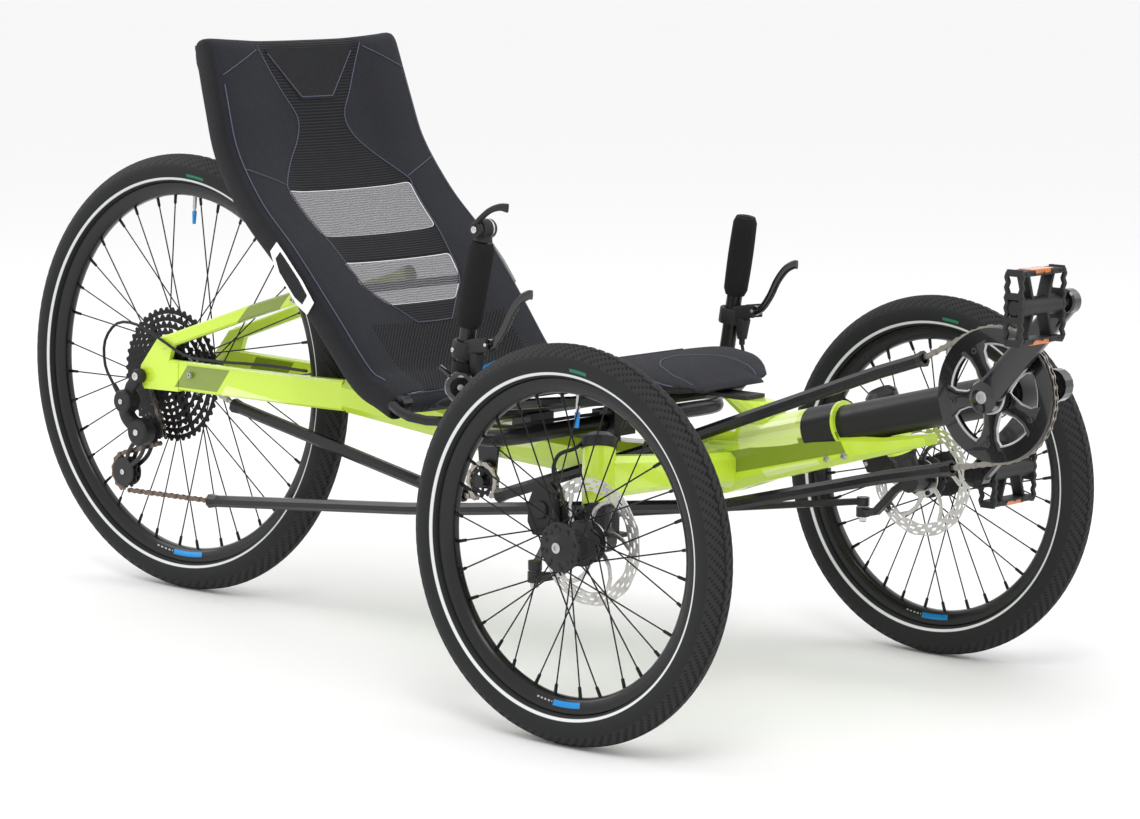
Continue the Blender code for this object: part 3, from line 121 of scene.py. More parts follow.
def circle(radius, count=12, flat=1.0):
    """Section points on a circle, or on an ellipse when flat isn't 1."""
    turns = [2 * pi * (step + 0.5) / count for step in range(count)]
    return [(radius * cos(turn), radius * flat * sin(turn)) for turn in turns]


def pillow(half_width, half_height, power=0.55, count=20):
    """A rectangular section with generous round corners."""
    places = []
    for step in range(count):
        turn = 2 * pi * (step + 0.5) / count
        across = abs(cos(turn)) ** power * (1 if cos(turn) > 0 else -1)
        rise = abs(sin(turn)) ** power * (1 if sin(turn) > 0 else -1)
        places.append((half_width * across, half_height * rise))
    return places


def add_object(name, data):
    """Links a new object to the scene."""
    item = bpy.data.objects.new(name, data)
    bpy.context.scene.collection.objects.link(item)
    return item


def add_modifier(item, kind, **settings):
    modifier = item.modifiers.new(kind, kind)
    for setting, value in settings.items():
        setattr(modifier, setting, value)
    return modifier


def mesh_of(name, points, faces, marks, materials, clean=False):
    """A mesh whose faces point out. clean drops its loose points and collapsed faces."""
    mesh = bpy.data.meshes.new(name)
    mesh.from_pydata(points, [], faces)
    for face, mark in zip(mesh.polygons, marks):
        face.material_index = mark
    work = bmesh.new()
    work.from_mesh(mesh)
    if clean:
        loose = [vertex for vertex in work.verts if not vertex.link_faces]
        bmesh.ops.delete(work, geom=loose, context="VERTS")
        bmesh.ops.dissolve_degenerate(work, edges=work.edges, dist=0.0002)
    bmesh.ops.recalc_face_normals(work, faces=work.faces)
    work.to_mesh(mesh)
    work.free()
    for material in materials:
        mesh.materials.append(material)
    mesh.shade_smooth()
    return mesh


class Shape:
    """Closed forms gathered into one piece. mark is the number of the material that new faces get."""

    def __init__(self):
        self.points = []
        self.faces = []
        self.marks = []
        self.mark = 0

    def add(self, points, faces):
        first = len(self.points)
        self.points += [tuple(point) for point in points]
        self.faces += [[first + corner for corner in face] for face in faces]
        self.marks += [self.mark] * len(faces)
        return self

    def turned(self, profile, centre, axis=X, segments=32):
        """Turns (radius, distance along the axis) points about an axis through centre."""
        axis = Vector(axis).normalized()
        down = -Z if abs(axis.z) < 0.8 else Y
        first = (down - axis * down.dot(axis)).normalized()
        second = axis.cross(first)
        points = []
        rings = []
        for radius, along in profile:
            middle = Vector(centre) + axis * along
            if radius == 0:
                rings.append([len(points)] * segments)
                points.append(middle)
                continue
            rings.append(range(len(points), len(points) + segments))
            for step in range(segments):
                angle = 2 * pi * step / segments
                points.append(middle + first * (radius * cos(angle)) + second * (radius * sin(angle)))
        count = len(rings) - (profile[0][0] == 0)
        faces = []
        for index in range(count):
            low = rings[index]
            high = rings[(index + 1) % len(rings)]
            for step in range(segments):
                after = (step + 1) % segments
                faces.append(list(dict.fromkeys([low[step], low[after], high[after], high[step]])))
        return self.add(points, faces)

    def tube(self, centre, inner, outer, low, high, axis=X, segments=32):
        """A ring, or a disc when inner is 0, from low to high along its axis."""
        profile = [(inner, low), (outer, low), (outer, high), (inner, high)]
        return self.turned(profile, centre, axis, segments)

    def rod(self, start, end, radius, segments=12, end_radius=None):
        """A round bar between two points, tapering when end_radius is given."""
        along = Vector(end) - Vector(start)
        length = along.length
        profile = [(0, 0), (radius, 0), (end_radius or radius, length), (0, length)]
        return self.turned(profile, start, along, segments)

    def bolt(self, start, along, radius):
        """A bolt head with a chamfer and a hexagon socket, rising from start."""
        length = along.length
        socket = radius * 0.45
        profile = [(0, 0), (radius, 0), (radius, length * 0.8), (radius * 0.85, length), (socket, length)]
        profile += [(socket, length * 0.5), (0, length * 0.5)]
        return self.turned(profile, start, along, 12)

    def swept(self, points, section, up=None):
        """Sweeps a section, or one section for each point, along a path."""
        points = [Vector(point) for point in points]
        sections = section if isinstance(section[0], list) else [section] * len(points)
        count = len(sections[0])
        carried = Vector((0.31, 0.52, 0.79))
        corners = []
        for index, place in enumerate(points):
            along = points[min(index + 1, len(points) - 1)] - points[max(index - 1, 0)]
            along.normalize()
            side = along.cross(carried if up is None else up).normalized()
            carried = side.cross(along)
            corners += [place + side * u + carried * v for u, v in sections[index]]
        faces = [list(range(count)), list(range(len(corners) - count, len(corners)))]
        for low in range(0, len(corners) - count, count):
            for step in range(count):
                after = (step + 1) % count
                faces.append([low + step, low + after, low + count + after, low + count + step])
        return self.add(corners, faces)

    def slab(self, outline, low, high):
        """Extrudes an outline of points in the middle plane along X, from low to high."""
        count = len(outline)
        points = [(x, place.y, place.z) for x in (low, high) for place in outline]
        faces = [list(range(count)), list(range(count, 2 * count))]
        faces += [[s, (s + 1) % count, count + (s + 1) % count, count + s] for s in range(count)]
        return self.add(points, faces)

    def block(self, centre, size, turn=None):
        """A box, turned by a matrix when one is given."""
        points = []
        for x in (-0.5, 0.5):
            for y in (-0.5, 0.5):
                for z in (-0.5, 0.5):
                    corner = Vector((x * size[0], y * size[1], z * size[2]))
                    points.append(Vector(centre) + (turn @ corner if turn else corner))
        faces = [[0, 1, 3, 2], [4, 5, 7, 6], [0, 1, 5, 4], [2, 3, 7, 6], [0, 2, 6, 4], [1, 3, 7, 5]]
        return self.add(points, faces)

    def sprocket(self, centre, tip, root, inner, teeth, thickness):
        """A flat toothed ring with four points for each tooth."""
        count = 4 * teeth
        points = []
        for x in (-thickness / 2, thickness / 2):
            for radii in ((tip, tip, root, root), (inner,) * 4):
                for step in range(count):
                    points.append(polar(centre, radii[step % 4], 2 * pi * step / count, x))
        faces = []
        for step in range(count):
            after = (step + 1) % count
            for low, high in ((0, 1), (1, 3), (3, 2), (2, 0)):
                low, high = low * count, high * count
                faces.append([low + step, low + after, high + after, high + step])
        return self.add(points, faces)

    def piece(self, name, body, materials, replaces=(), slot=None, bevel=0.0, smooth_to=40):
        """Makes the gathered forms one object that rides on a body."""
        mesh = mesh_of(name, self.points, self.faces, self.marks, materials)
        mesh.set_sharp_from_angle(angle=radians(smooth_to))
        item = add_object(name, mesh)
        if bevel:
            add_modifier(item, "BEVEL", width=bevel, segments=2, limit_method="ANGLE")
        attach(item, body)
        if replaces:
            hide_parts(*replaces)
        return item


# Materials


class Paint:
    """A procedural material. Most methods add one node and return its output."""

    def __init__(self, name, colour, roughness, metallic=0.0, **sockets):
        self.material = bpy.data.materials.new(name)
        self.material.use_nodes = True
        self.tree = self.material.node_tree
        self.shader = self.tree.nodes["Principled BSDF"]
        self.base = (*colour, 1.0)
        values = {"Base Color": self.base, "Roughness": roughness, "Metallic": metallic, **sockets}
        for socket, value in values.items():
            self.shader.inputs[socket.replace("_", " ")].default_value = value
        self.place = self.tree.nodes.new("ShaderNodeTexCoord").outputs["Object"]
        split = self.tree.nodes.new("ShaderNodeSeparateXYZ")
        self.tree.links.new(self.place, split.inputs[0])
        self.x, self.y, self.z = split.outputs

    def put(self, socket, value):
        if isinstance(value, bpy.types.NodeSocket):
            self.tree.links.new(value, socket)
        else:
            socket.default_value = value

    def math(self, operation, *values):
        step = self.tree.nodes.new("ShaderNodeMath")
        step.operation = operation
        for socket, value in zip(step.inputs, values):
            self.put(socket, value)
        return step.outputs[0]

    def minus(self, first, second):
        return self.math("SUBTRACT", first, second)

    def times(self, *values):
        result = values[0]
        for value in values[1:]:
            result = self.math("MULTIPLY", result, value)
        return result

    def distance(self, first, second):
        """The length whose two parts are first and second."""
        return self.math("SQRT", self.math("ADD", self.times(first, first), self.times(second, second)))

    def around(self, centre):
        """The radius and the angle about a wheel's axle."""
        back = self.minus(self.y, centre.y)
        rise = self.minus(self.z, centre.z)
        return self.distance(back, rise), self.math("ARCTAN2", rise, back)

    def noise(self, scale, detail=3.0, stretch=(1, 1, 1)):
        spread = self.tree.nodes.new("ShaderNodeMapping")
        spread.inputs["Scale"].default_value = stretch
        self.tree.links.new(self.place, spread.inputs[0])
        grain = self.tree.nodes.new("ShaderNodeTexNoise")
        grain.inputs["Scale"].default_value = scale
        grain.inputs["Detail"].default_value = detail
        self.tree.links.new(spread.outputs[0], grain.inputs["Vector"])
        return grain.outputs[0]

    def wave(self, value, period):
        return self.math("SINE", self.times(value, 2 * pi / period))

    def halved(self, value):
        """A wave brought from -1..1 to 0..1."""
        return self.math("MULTIPLY_ADD", value, 0.5, 0.5)

    def inside(self, value, low, high, soft=0.0004):
        """1 where value is between low and high, and 0 elsewhere."""
        away = self.math("ABSOLUTE", self.minus(value, (low + high) / 2))
        share = self.math("DIVIDE", self.minus((high - low) / 2 + soft, away), 2 * soft)
        return self.math("MINIMUM", self.math("MAXIMUM", share, 0.0), 1.0)

    def line(self, slope_y, slope_z, start=0.0):
        """slope_y * y + slope_z * z - start, with y measured back from the front axle."""
        flat = self.times(self.minus(self.y, FRONT_AXLE_Y), slope_y)
        return self.minus(self.math("ADD", flat, self.times(self.z, slope_z)), start)

    def colour(self, share, other):
        """Lays another colour over what is there, where share is 1."""
        socket = self.shader.inputs["Base Color"]
        under = socket.links[0].from_socket if socket.is_linked else self.base
        blend = self.tree.nodes.new("ShaderNodeMix")
        blend.data_type = "RGBA"
        for number, value in ((0, share), (6, under), (7, (*other, 1.0))):
            self.put(blend.inputs[number], value)
        self.tree.links.new(blend.outputs[2], socket)
        return self

    def patches(self, scale, amount, other, detail=3.0):
        """Lays soft patches of another colour over what is there."""
        return self.colour(self.times(self.noise(scale, detail), amount), other)

    def gloss(self, share, low, high):
        """Spreads the roughness between low and high."""
        spread = self.math("MULTIPLY_ADD", share, high - low, low)
        self.tree.links.new(spread, self.shader.inputs["Roughness"])
        return self

    def bump(self, height, distance):
        socket = self.shader.inputs["Normal"]
        relief = self.tree.nodes.new("ShaderNodeBump")
        relief.inputs["Distance"].default_value = distance
        relief.inputs["Strength"].default_value = 1.0
        if socket.is_linked:
            self.tree.links.new(socket.links[0].from_socket, relief.inputs["Normal"])
        self.put(relief.inputs["Height"], height)
        self.tree.links.new(relief.outputs[0], socket)
        return self


LIME = (0.6, 0.815, 0.045)
OLIVE = (0.205, 0.29, 0.018)
PALE_LIME = (0.76, 0.9, 0.3)
COAL = (0.0095, 0.0098, 0.0105)
BACK_SLOPE = (0.62, 0.78)


def scaled(colour, factor, lift=0.0):
    return tuple(part * factor + lift for part in colour)


def metal(name, colour, roughness, grain=350, metallic=1.0, **sockets):
    """Metal whose gloss and relief vary with a fine grain."""
    paint = Paint(name, colour, roughness, metallic, **sockets)
    fine = paint.noise(grain)
    paint.gloss(fine, roughness * 0.75, roughness * 1.3)
    paint.patches(9, 0.22, scaled(colour, 0.6))
    return paint.bump(fine, 0.00006).material


def moulded(name, colour, roughness, grain=900, relief=0.00016):
    """Moulded plastic with a fine grained skin."""
    paint = Paint(name, colour, roughness, Specular_IOR_Level=0.35)
    paint.gloss(paint.noise(30), roughness * 0.8, min(roughness * 1.25, 1.0))
    paint.patches(60, 0.3, scaled(colour, 1.7, 0.004))
    return paint.bump(paint.noise(grain, 2), relief).material


def lime_paint(name):
    """Gloss powder coat over welded tube, with faint orange peel."""
    paint = Paint(name, LIME, 0.28, Coat_Weight=0.7, Coat_Roughness=0.06)
    paint.patches(6, 0.18, (0.52, 0.75, 0.03))
    paint.gloss(paint.noise(120), 0.24, 0.36)
    return paint.bump(paint.noise(420, 1), 0.0001)


def beam_paint():
    """The beam's paint: olive and pale stripes on its sides, and a lozenge and a black band on its sleeve."""
    paint = lime_paint("beam_paint")
    side = paint.inside(paint.math("ABSOLUTE", paint.x), 0.024, 0.04)
    stripe = paint.line(0.255, 1.0, 0.3235)
    reach = paint.line(1.0, -0.55)
    for colour, low, high, front, back in (
        (OLIVE, -0.019, 0.0105, -0.335, -0.11),
        (PALE_LIME, 0.0125, 0.03, -0.31, -0.215),
        (PALE_LIME, -0.04, -0.0215, -0.285, -0.185),
    ):
        panel = paint.times(side, paint.inside(stripe, low, high), paint.inside(reach, front, back))
        paint.colour(panel, colour)
    height = paint.inside(paint.line(0.0, 1.0, 0.3), -0.009, 0.012)
    paint.colour(paint.times(side, height, paint.inside(paint.line(1.0, 0.9), 0.64, 0.76)), PALE_LIME)
    slope = cos(BOOM_SLOPE), sin(BOOM_SLOPE)
    y, z = SLEEVE_FRONT.y - FRONT_AXLE_Y, SLEEVE_FRONT.z
    along = paint.line(slope[0], -slope[1], y * slope[0] - z * slope[1])
    across = paint.line(slope[1], slope[0], y * slope[1] + z * slope[0])
    radius = paint.distance(across, paint.x)
    skin = paint.inside(radius, 0.024, 0.0306, 0.0001)
    lozenge = paint.times(skin, paint.inside(along, 0.062, 0.158), paint.inside(across, -0.012, 0.031))
    paint.colour(lozenge, PALE_LIME)
    wall = paint.inside(radius, 0.02, 0.0306, 0.0001)
    return paint.colour(paint.times(wall, paint.inside(along, 0.0045, 0.054)), COAL).material


def stay_paint():
    """The rear stays' paint: an olive panel by the dropout, a pale wedge before it and an olive band above."""
    paint = lime_paint("stay_paint")
    reach = paint.line(1.0, 0.75)
    for height, low, high, along, front, back, colour in (
        (paint.z, 0.316, 0.35, reach, 1.19, 1.275, OLIVE),
        (paint.line(-0.12, 1.0), 0.198, 0.215, reach, 1.05, 1.18, PALE_LIME),
        (paint.z, 0.42, 0.48, paint.line(1.0, 0.9), 1.23, 1.29, OLIVE),
    ):
        paint.colour(paint.times(paint.inside(height, low, high), paint.inside(along, front, back)), colour)
    return paint.material


def tyre_rubber(name, centre, outer_r, bead_r):
    """Black rubber with painted shade in its sipes and its zigzag groove, a reflective stripe and a green mark.
    """
    paint = Paint(name, (0.012, 0.0122, 0.013), 0.68, Specular_IOR_Level=0.28)
    radius, turn = paint.around(centre)
    side = paint.minus(paint.x, centre.x)
    away = paint.math("ABSOLUTE", side)
    wall = paint.inside(away, 0.01, 0.024)
    paint.patches(40, 0.35, (0.02, 0.021, 0.023))
    stripe = paint.times(paint.inside(radius, bead_r + 0.0093, bead_r + 0.0128), wall)
    paint.colour(stripe, (0.72, 0.73, 0.74))
    up = paint.minus(radius, bead_r + TYRE_WIDTH / 2)
    depth = paint.minus(TYRE_WIDTH / 2, paint.distance(up, side))
    tread = paint.inside(radius, outer_r - TREAD_HEIGHT, outer_r + 0.01, 0.001)
    paint.colour(paint.times(tread, 0.7), (0.023, 0.023, 0.025))
    # Painted shade: the sunk sipes, 0.7 to 4 mm below the tyre's round, are darkened.
    paint.colour(paint.times(tread, paint.inside(depth, 0.0007, 0.004)), (0.0022, 0.0022, 0.0024))
    zigzag = paint.times(paint.math("PINGPONG", paint.times(turn, outer_r), 0.0075), 0.3)
    groove = paint.inside(paint.minus(away, zigzag), 0.004, 0.0058)
    # Painted shade: the zigzag groove, which is only a bump in the rubber, is darkened.
    paint.colour(paint.times(tread, groove), (0.003, 0.003, 0.0032))
    paint.bump(paint.minus(1.0, groove), 0.0012)
    ribs = paint.times(paint.wave(radius, 0.0024), paint.inside(radius, bead_r, bead_r + 0.0085))
    paint.bump(ribs, 0.00022)
    dash = paint.times(paint.inside(turn, 1.645, 1.765), paint.inside(radius, bead_r + 0.0165, bead_r + 0.0205))
    return paint.colour(paint.times(dash, wall), (0.02, 0.18, 0.095)).material


def rim_alloy(name, centre):
    """Black anodised rim with a blue band and grey ticks low on its sides, and fine turning marks."""
    paint = Paint(name, (0.01, 0.01, 0.011), 0.3, 0.6, Coat_Weight=0.25)
    radius, turn = paint.around(centre)
    outer = centre.z - TYRE_WIDTH + FLANGE_HEIGHT
    band = paint.times(paint.inside(turn, -1.72, -1.5), paint.inside(radius, outer - 0.0155, outer - 0.0085))
    paint.colour(band, (0.01, 0.25, 0.62))
    ticks = paint.times(paint.inside(turn, -1.49, -1.36), paint.inside(radius, outer - 0.0135, outer - 0.0115))
    paint.colour(paint.times(ticks, paint.inside(paint.wave(turn, 0.03), -0.1, 1.0)), (0.45, 0.46, 0.48))
    paint.gloss(paint.noise(240), 0.22, 0.38)
    return paint.bump(paint.wave(radius, 0.0011), 0.00003).material


def cloth(name, colour, period, ribs=False, slope=BACK_SLOPE):
    """Woven cloth: a lattice of threads that runs across and up the seat, with a soft sheen."""
    paint = Paint(name, colour, 0.9, Sheen_Weight=0.06, Specular_IOR_Level=0.2)
    up = paint.math("ADD", paint.times(paint.y, slope[0]), paint.times(paint.z, slope[1]))
    threads = paint.wave(up, period)
    if not ribs:
        threads = paint.times(threads, paint.wave(paint.x, period))
    paint.colour(paint.times(paint.halved(threads), 0.75), scaled(colour, 3.6, 0.004))
    paint.patches(14, 0.35, scaled(colour, 0.55))
    paint.bump(threads, 0.00045)
    return paint.bump(paint.noise(26), 0.0016).material


def lattice_cloth(name, colour, period):
    """Spacer cloth with a coarse open lattice."""
    paint = Paint(name, colour, 0.9, Sheen_Weight=0.04, Specular_IOR_Level=0.2)
    up = paint.math("ADD", paint.times(paint.y, BACK_SLOPE[0]), paint.times(paint.z, BACK_SLOPE[1]))
    holes = paint.times(paint.wave(up, period), paint.wave(paint.x, period))
    paint.colour(paint.inside(holes, 0.42, 1.2, 0.08), scaled(colour, 4.0, 0.012))
    return paint.bump(holes, 0.0007).material


def mesh_cloth(name):
    """See-through net, drawn with fine rippled rows."""
    paint = Paint(name, (0.06, 0.058, 0.066), 0.9, Alpha=0.6)
    ripple = paint.times(paint.noise(45, 2, (1, 1, 0.4)), 0.004)
    rows = paint.wave(paint.math("ADD", paint.z, ripple), 0.003)
    paint.colour(paint.halved(rows), (0.26, 0.25, 0.275))
    return paint.bump(rows, 0.0004).material


def foam():
    paint = Paint("foam", (0.0085, 0.0085, 0.009), 0.96, Specular_IOR_Level=0.2)
    paint.patches(500, 0.6, (0.026, 0.026, 0.028), 2)
    return paint.bump(paint.noise(700, 2), 0.0006).material


def amber():
    """Clear amber plastic with small prisms."""
    paint = Paint("amber", (0.95, 0.25, 0.01), 0.12, Transmission_Weight=0.25, Coat_Weight=0.8)
    return paint.bump(paint.times(paint.wave(paint.x, 0.004), paint.wave(paint.y, 0.004)), 0.0005).material


def rotor_steel(name, centre):
    """Brushed steel whose scratches run round the disc."""
    paint = Paint(name, (0.6, 0.59, 0.57), 0.26, 1.0)
    rings = paint.halved(paint.wave(paint.around(centre)[0], 0.0013))
    paint.gloss(rings, 0.2, 0.38)
    paint.patches(60, 0.4, (0.38, 0.36, 0.35))
    return paint.bump(rings, 0.00003).material


LIME_PAINT = lime_paint("lime_paint").material
SATIN = metal("satin_black", (0.012, 0.012, 0.013), 0.36, 500, 0.35, Coat_Weight=0.15)
GLOSS_BLACK = metal("gloss_black", (0.009, 0.009, 0.01), 0.16, 300, 0.2, Coat_Weight=0.6)
SLEEVE_BLACK = metal("sleeve_black", (0.013, 0.013, 0.014), 0.42, 260, 0.25)
STEEL = metal("bright_steel", (0.62, 0.61, 0.59), 0.24)
ALLOY = metal("silver_alloy", (0.5, 0.5, 0.51), 0.34)
SPOKE = metal("spoke_black", (0.02, 0.02, 0.022), 0.3, 700, 0.8)
CHAIN_BROWN = metal("chain_brown", (0.19, 0.145, 0.115), 0.38, 900)
CHAIN_BRIGHT = metal("chain_bright", (0.4, 0.37, 0.33), 0.32, 900)
SPROCKET = metal("sprocket_black", (0.02, 0.019, 0.019), 0.42, 600, 0.7)
PLASTIC = moulded("black_plastic", (0.012, 0.012, 0.013), 0.5)
TUBE_PLASTIC = moulded("tube_plastic", (0.009, 0.009, 0.01), 0.24, 300, 0.00005)
RUBBER = moulded("cable_rubber", (0.01, 0.01, 0.011), 0.55, 1200)
BLUE = moulded("blue_plastic", (0.01, 0.23, 0.6), 0.35)
WHITE = moulded("white_print", (0.8, 0.8, 0.8), 0.45)
AMBER = amber()
FOAM = foam()
CLOTH = cloth("seat_cloth", (0.0105, 0.011, 0.0145), 0.0031)
RIBBED = cloth("ribbed_cloth", (0.008, 0.0082, 0.01), 0.0042, True)
SMOOTH_CLOTH = cloth("smooth_cloth", (0.009, 0.0092, 0.0105), 0.0016)
PAN_CLOTH = cloth("pan_cloth", (0.0105, 0.011, 0.0145), 0.0031, False, (1.0, 0.0))
LATTICE = lattice_cloth("lattice_cloth", (0.008, 0.0082, 0.0095), 0.0062)
NET = mesh_cloth("net")
PIPING = moulded("piping", (0.085, 0.085, 0.125), 0.8, 1500)

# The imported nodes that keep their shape

# Names of nodes, or how the names of several of them start
PAINTED = {"main_beam": beam_paint(), "rear_stay": stay_paint(), "cross_arm": LIME_PAINT}
KEPT = {"chain_tube": TUBE_PLASTIC, "shift_cable": RUBBER, "brake_hose": RUBBER, "crank_left": GLOSS_BLACK}
SATIN_NODES = ("idler_bracket", "pan_frame", "backrest_frame", "steering_stem", "knuckle", "tie_rod")
KEPT.update(dict.fromkeys(SATIN_NODES, SATIN))


def finish_kept():
    """Gives each kept node its finish, and the painted ones a small rounding on their edges."""
    for start, material in {**PAINTED, **KEPT}.items():
        for name, item in NODES.items():
            if name.startswith(start):
                item.data.materials.clear()
                item.data.materials.append(material)
                if start in PAINTED:
                    rounding = {"width": 0.0012, "segments": 2, "angle_limit": radians(35)}
                    add_modifier(item, "BEVEL", limit_method="ANGLE", **rounding)


# Wheels

ROTOR_INSET = 0.039
ROTOR_CELLS = 168
ROTOR_RINGS = (0.063, 0.0652, 0.0684, 0.0704, 0.0736, 0.0756, 0.0785, 0.08)
VALVE_TURN = pi * 1.02
VALVE = (
    (1, -0.001, 0.018, 0.003, 0.003), (1, 0.018, 0.024, 0.0022, 0.0022),
    (2, 0.022, 0.041, 0.0036, 0.0026),
)
FRONT_HUB = [
    (0, 0.0235), (0.009, 0.024), (0.0125, 0.0225), (0.015, 0.0205), (0.03, 0.02), (0.031, 0.019),
    (0.031, 0.0155), (0.03, 0.0145), (0.02, 0.0125), (0.0165, 0.008), (0.0165, -0.013), (0.02, -0.0175),
    (0.028, -0.0195), (0.029, -0.0205), (0.029, -0.0245), (0.028, -0.0255), (0.018, -0.0275),
    (0.017, -0.043), (0.0086, -0.043), (0.0086, 0.0128), (0, 0.0128),
]
REAR_HUB = [
    (0.006, 0.06), (0.013, 0.06), (0.0145, 0.05), (0.018, 0.04), (0.029, 0.036), (0.029, 0.029),
    (0.017, 0.026), (0.0165, -0.009), (0.028, -0.0125), (0.029, -0.0165), (0.028, -0.02),
    (0.0155, -0.0205), (0.0155, -0.06), (0.006, -0.06),
]


def polar(centre, radius, turn, x=0.0):
    """A place round a wheel's centre. turn 0 is at the bottom."""
    return Vector((centre.x + x, centre.y + radius * sin(turn), centre.z - radius * cos(turn)))


def tyre(name, body, centre):
    """A tyre with slanted sipes cut into its tread."""
    outer_r = centre.z
    bead_r = outer_r - TYRE_WIDTH
    half = TYRE_WIDTH / 2
    middle_r = bead_r + half
    opening = acos((half - FLANGE_HEIGHT) / half)
    crown = TYRE_RINGS // 2
    profile = []
    for step in range(TYRE_RINGS + 1):
        turn = opening + (2 * pi - 2 * opening) * step / TYRE_RINGS
        profile.append((middle_r - half * cos(turn), half * sin(turn) * (1.0 + 0.02 * sin(2 * turn) ** 2)))
    shape = Shape().turned(profile, centre, X, TREAD_SEGMENTS)
    sunk = 1 - SIPE_DEPTH / half
    for ring, (radius, x) in enumerate(profile):
        if radius < outer_r - TREAD_HEIGHT or ring == crown:
            continue
        shift = abs(ring - crown) + (2 if ring > crown else 0)
        for step in range(TREAD_SEGMENTS):
            if (step + shift) % SIPE_SPACING == 0:
                turn = 2 * pi * step / TREAD_SEGMENTS
                place = polar(centre, middle_r + (radius - middle_r) * sunk, turn, x * sunk)
                shape.points[ring * TREAD_SEGMENTS + step] = tuple(place)
    rubber = tyre_rubber(f"{name}_rubber", centre, outer_r, bead_r)
    return shape.piece(f"{name}_fine", body, [rubber], [name], "tyre", smooth_to=75)


def rim(name, body, centre):
    """A rim with rounded flanges and its valve."""
    outer = centre.z - TYRE_WIDTH + FLANGE_HEIGHT - 0.0003
    inner = outer - RIM_DEPTH
    half = [(outer, 0.9), (outer - 0.0012, 1.0), (outer - 0.008, 0.98), (outer - 0.0095, 0.93)]
    half += [(inner + 0.005, 0.8), (inner + 0.0015, 0.55), (inner, 0.25)]
    profile = [(radius, sign * RIM_HALF * share) for sign in (1, -1) for radius, share in half[::sign]]
    shape = Shape().turned(profile, centre, X, 144)
    for mark, start, end, radius, end_radius in VALVE:
        shape.mark = mark
        places = [polar(centre, inner - depth, VALVE_TURN) for depth in (start, end)]
        shape.rod(*places, radius, 12, end_radius)
    materials = [rim_alloy(f"{name}_alloy", centre), ALLOY, BLUE]
    return shape.piece(f"{name}_fine", body, materials, [name], "black_metal")


def add_spokes(shape, centre, flanges, root_r, count):
    """Crossed spokes with their nipples, from two hub flanges to the rim."""
    rim_r = centre.z - TYRE_WIDTH + FLANGE_HEIGHT - RIM_DEPTH
    for index in range(count):
        flange = flanges[index % 2]
        leading = 1 if (index // 2) % 2 else -1
        turn = 2 * pi * (index + 0.5) / count
        start = polar(centre, root_r, turn + leading * radians(62), flange + leading * 0.0019)
        end = polar(centre, rim_r + 0.001, turn, 0.12 * flange)
        shape.rod(start, end, 0.00105, 6)
        along = (end - start).normalized()
        shape.rod(end - along * 0.014, end, 0.0021, 8, 0.0024)
        shape.rod(start - X * 0.0016, start + X * 0.0016, 0.0022, 6)


def front_hub(name, side):
    centre = PIVOTS[f"front_wheel_{name}_spin"]
    out = X * side
    shape = Shape().turned(FRONT_HUB, centre, out, 48)
    for index in range(10):
        start = polar(centre, 0.0225, 2 * pi * index / 10, side * 0.0198)
        shape.rod(start, start + out * 0.0012, 0.0026, 10)
    shape.mark = 1
    shape.bolt(centre + out * 0.0235, out * 0.003, 0.0068)
    shape.mark = 2
    add_spokes(shape, centre, (side * 0.0172, side * -0.0225), 0.0262, 32)
    materials = [PLASTIC, ALLOY, SPOKE]
    node = f"front_hub_spokes_{name}"
    shape.piece(f"front_hub_fine_{name}", f"front_wheel_{name}", materials, [node], "black_metal")


def rear_hub():
    centre = PIVOTS["rear_wheel_spin"]
    shape = Shape().turned(REAR_HUB, centre, X, 48)
    shape.mark = 1
    add_spokes(shape, centre, (0.0325, -0.0165), 0.026, 36)
    shape.piece("rear_hub_fine", "rear_wheel", [GLOSS_BLACK, SPOKE], ["rear_hub_spokes"], "black_metal")


def rotor(name, side):
    """A perforated disc on a curved spider with six bolts."""
    centre = PIVOTS[f"front_wheel_{name}_spin"] - X * side * ROTOR_INSET
    cells = ROTOR_CELLS
    last = len(ROTOR_RINGS) - 1
    points = []
    for x in (-0.0009, 0.0009):
        for index, radius in enumerate(ROTOR_RINGS):
            scallop = 0.0007 if index in (0, last) else 0.0
            for step in range(cells):
                turn = 2 * pi * step / cells + 12 * (radius - ROTOR_RINGS[0])
                points.append(polar(centre, radius + scallop * cos(2 * pi * step / 14), turn, x))
    layer = len(points) // 2
    solid = set()
    for band in range(last):
        solid |= {(band, step) for step in range(cells) if band % 2 == 0 or (step + 2 * band) % 7 > 2}
    faces = []
    for band, step in sorted(solid):
        after = (step + 1) % cells
        low, high = band * cells, (band + 1) * cells
        corners = [low + step, low + after, high + after, high + step]
        faces += [corners, [corner + layer for corner in corners]]
        around = [(band - 1, step), (band, after), (band + 1, step), (band, (step - 1) % cells)]
        for first, second, neighbour in zip(corners, corners[1:] + corners[:1], around):
            if neighbour not in solid:
                faces.append([first, second, second + layer, first + layer])
    shape = Shape().add(points, faces)
    for index in range(6):
        turn = 2 * pi * index / 6
        shares = (0, 0.25, 0.5, 0.75, 1)
        path = [polar(centre, 0.02 + 0.044 * share, turn + 0.55 * share**1.5) for share in shares]
        halves = (0.0046, 0.0034, 0.0028, 0.0028, 0.0034)
        shape.swept(path, [pillow(half, 0.0009, 0.4, 8) for half in halves], X)
    shape.tube(centre, 0.0174, 0.0265, -0.0011, 0.0011, X, 48)
    shape.mark = 1
    for index in range(6):
        shape.bolt(polar(centre, 0.022, 2 * pi * (index + 0.5) / 6), X * side * -0.0032, 0.0036)
    materials = [rotor_steel(f"rotor_steel_{name}", centre), SATIN]
    shape.piece(f"rotor_fine_{name}", f"front_wheel_{name}", materials, [f"rotor_{name}"], "steel")


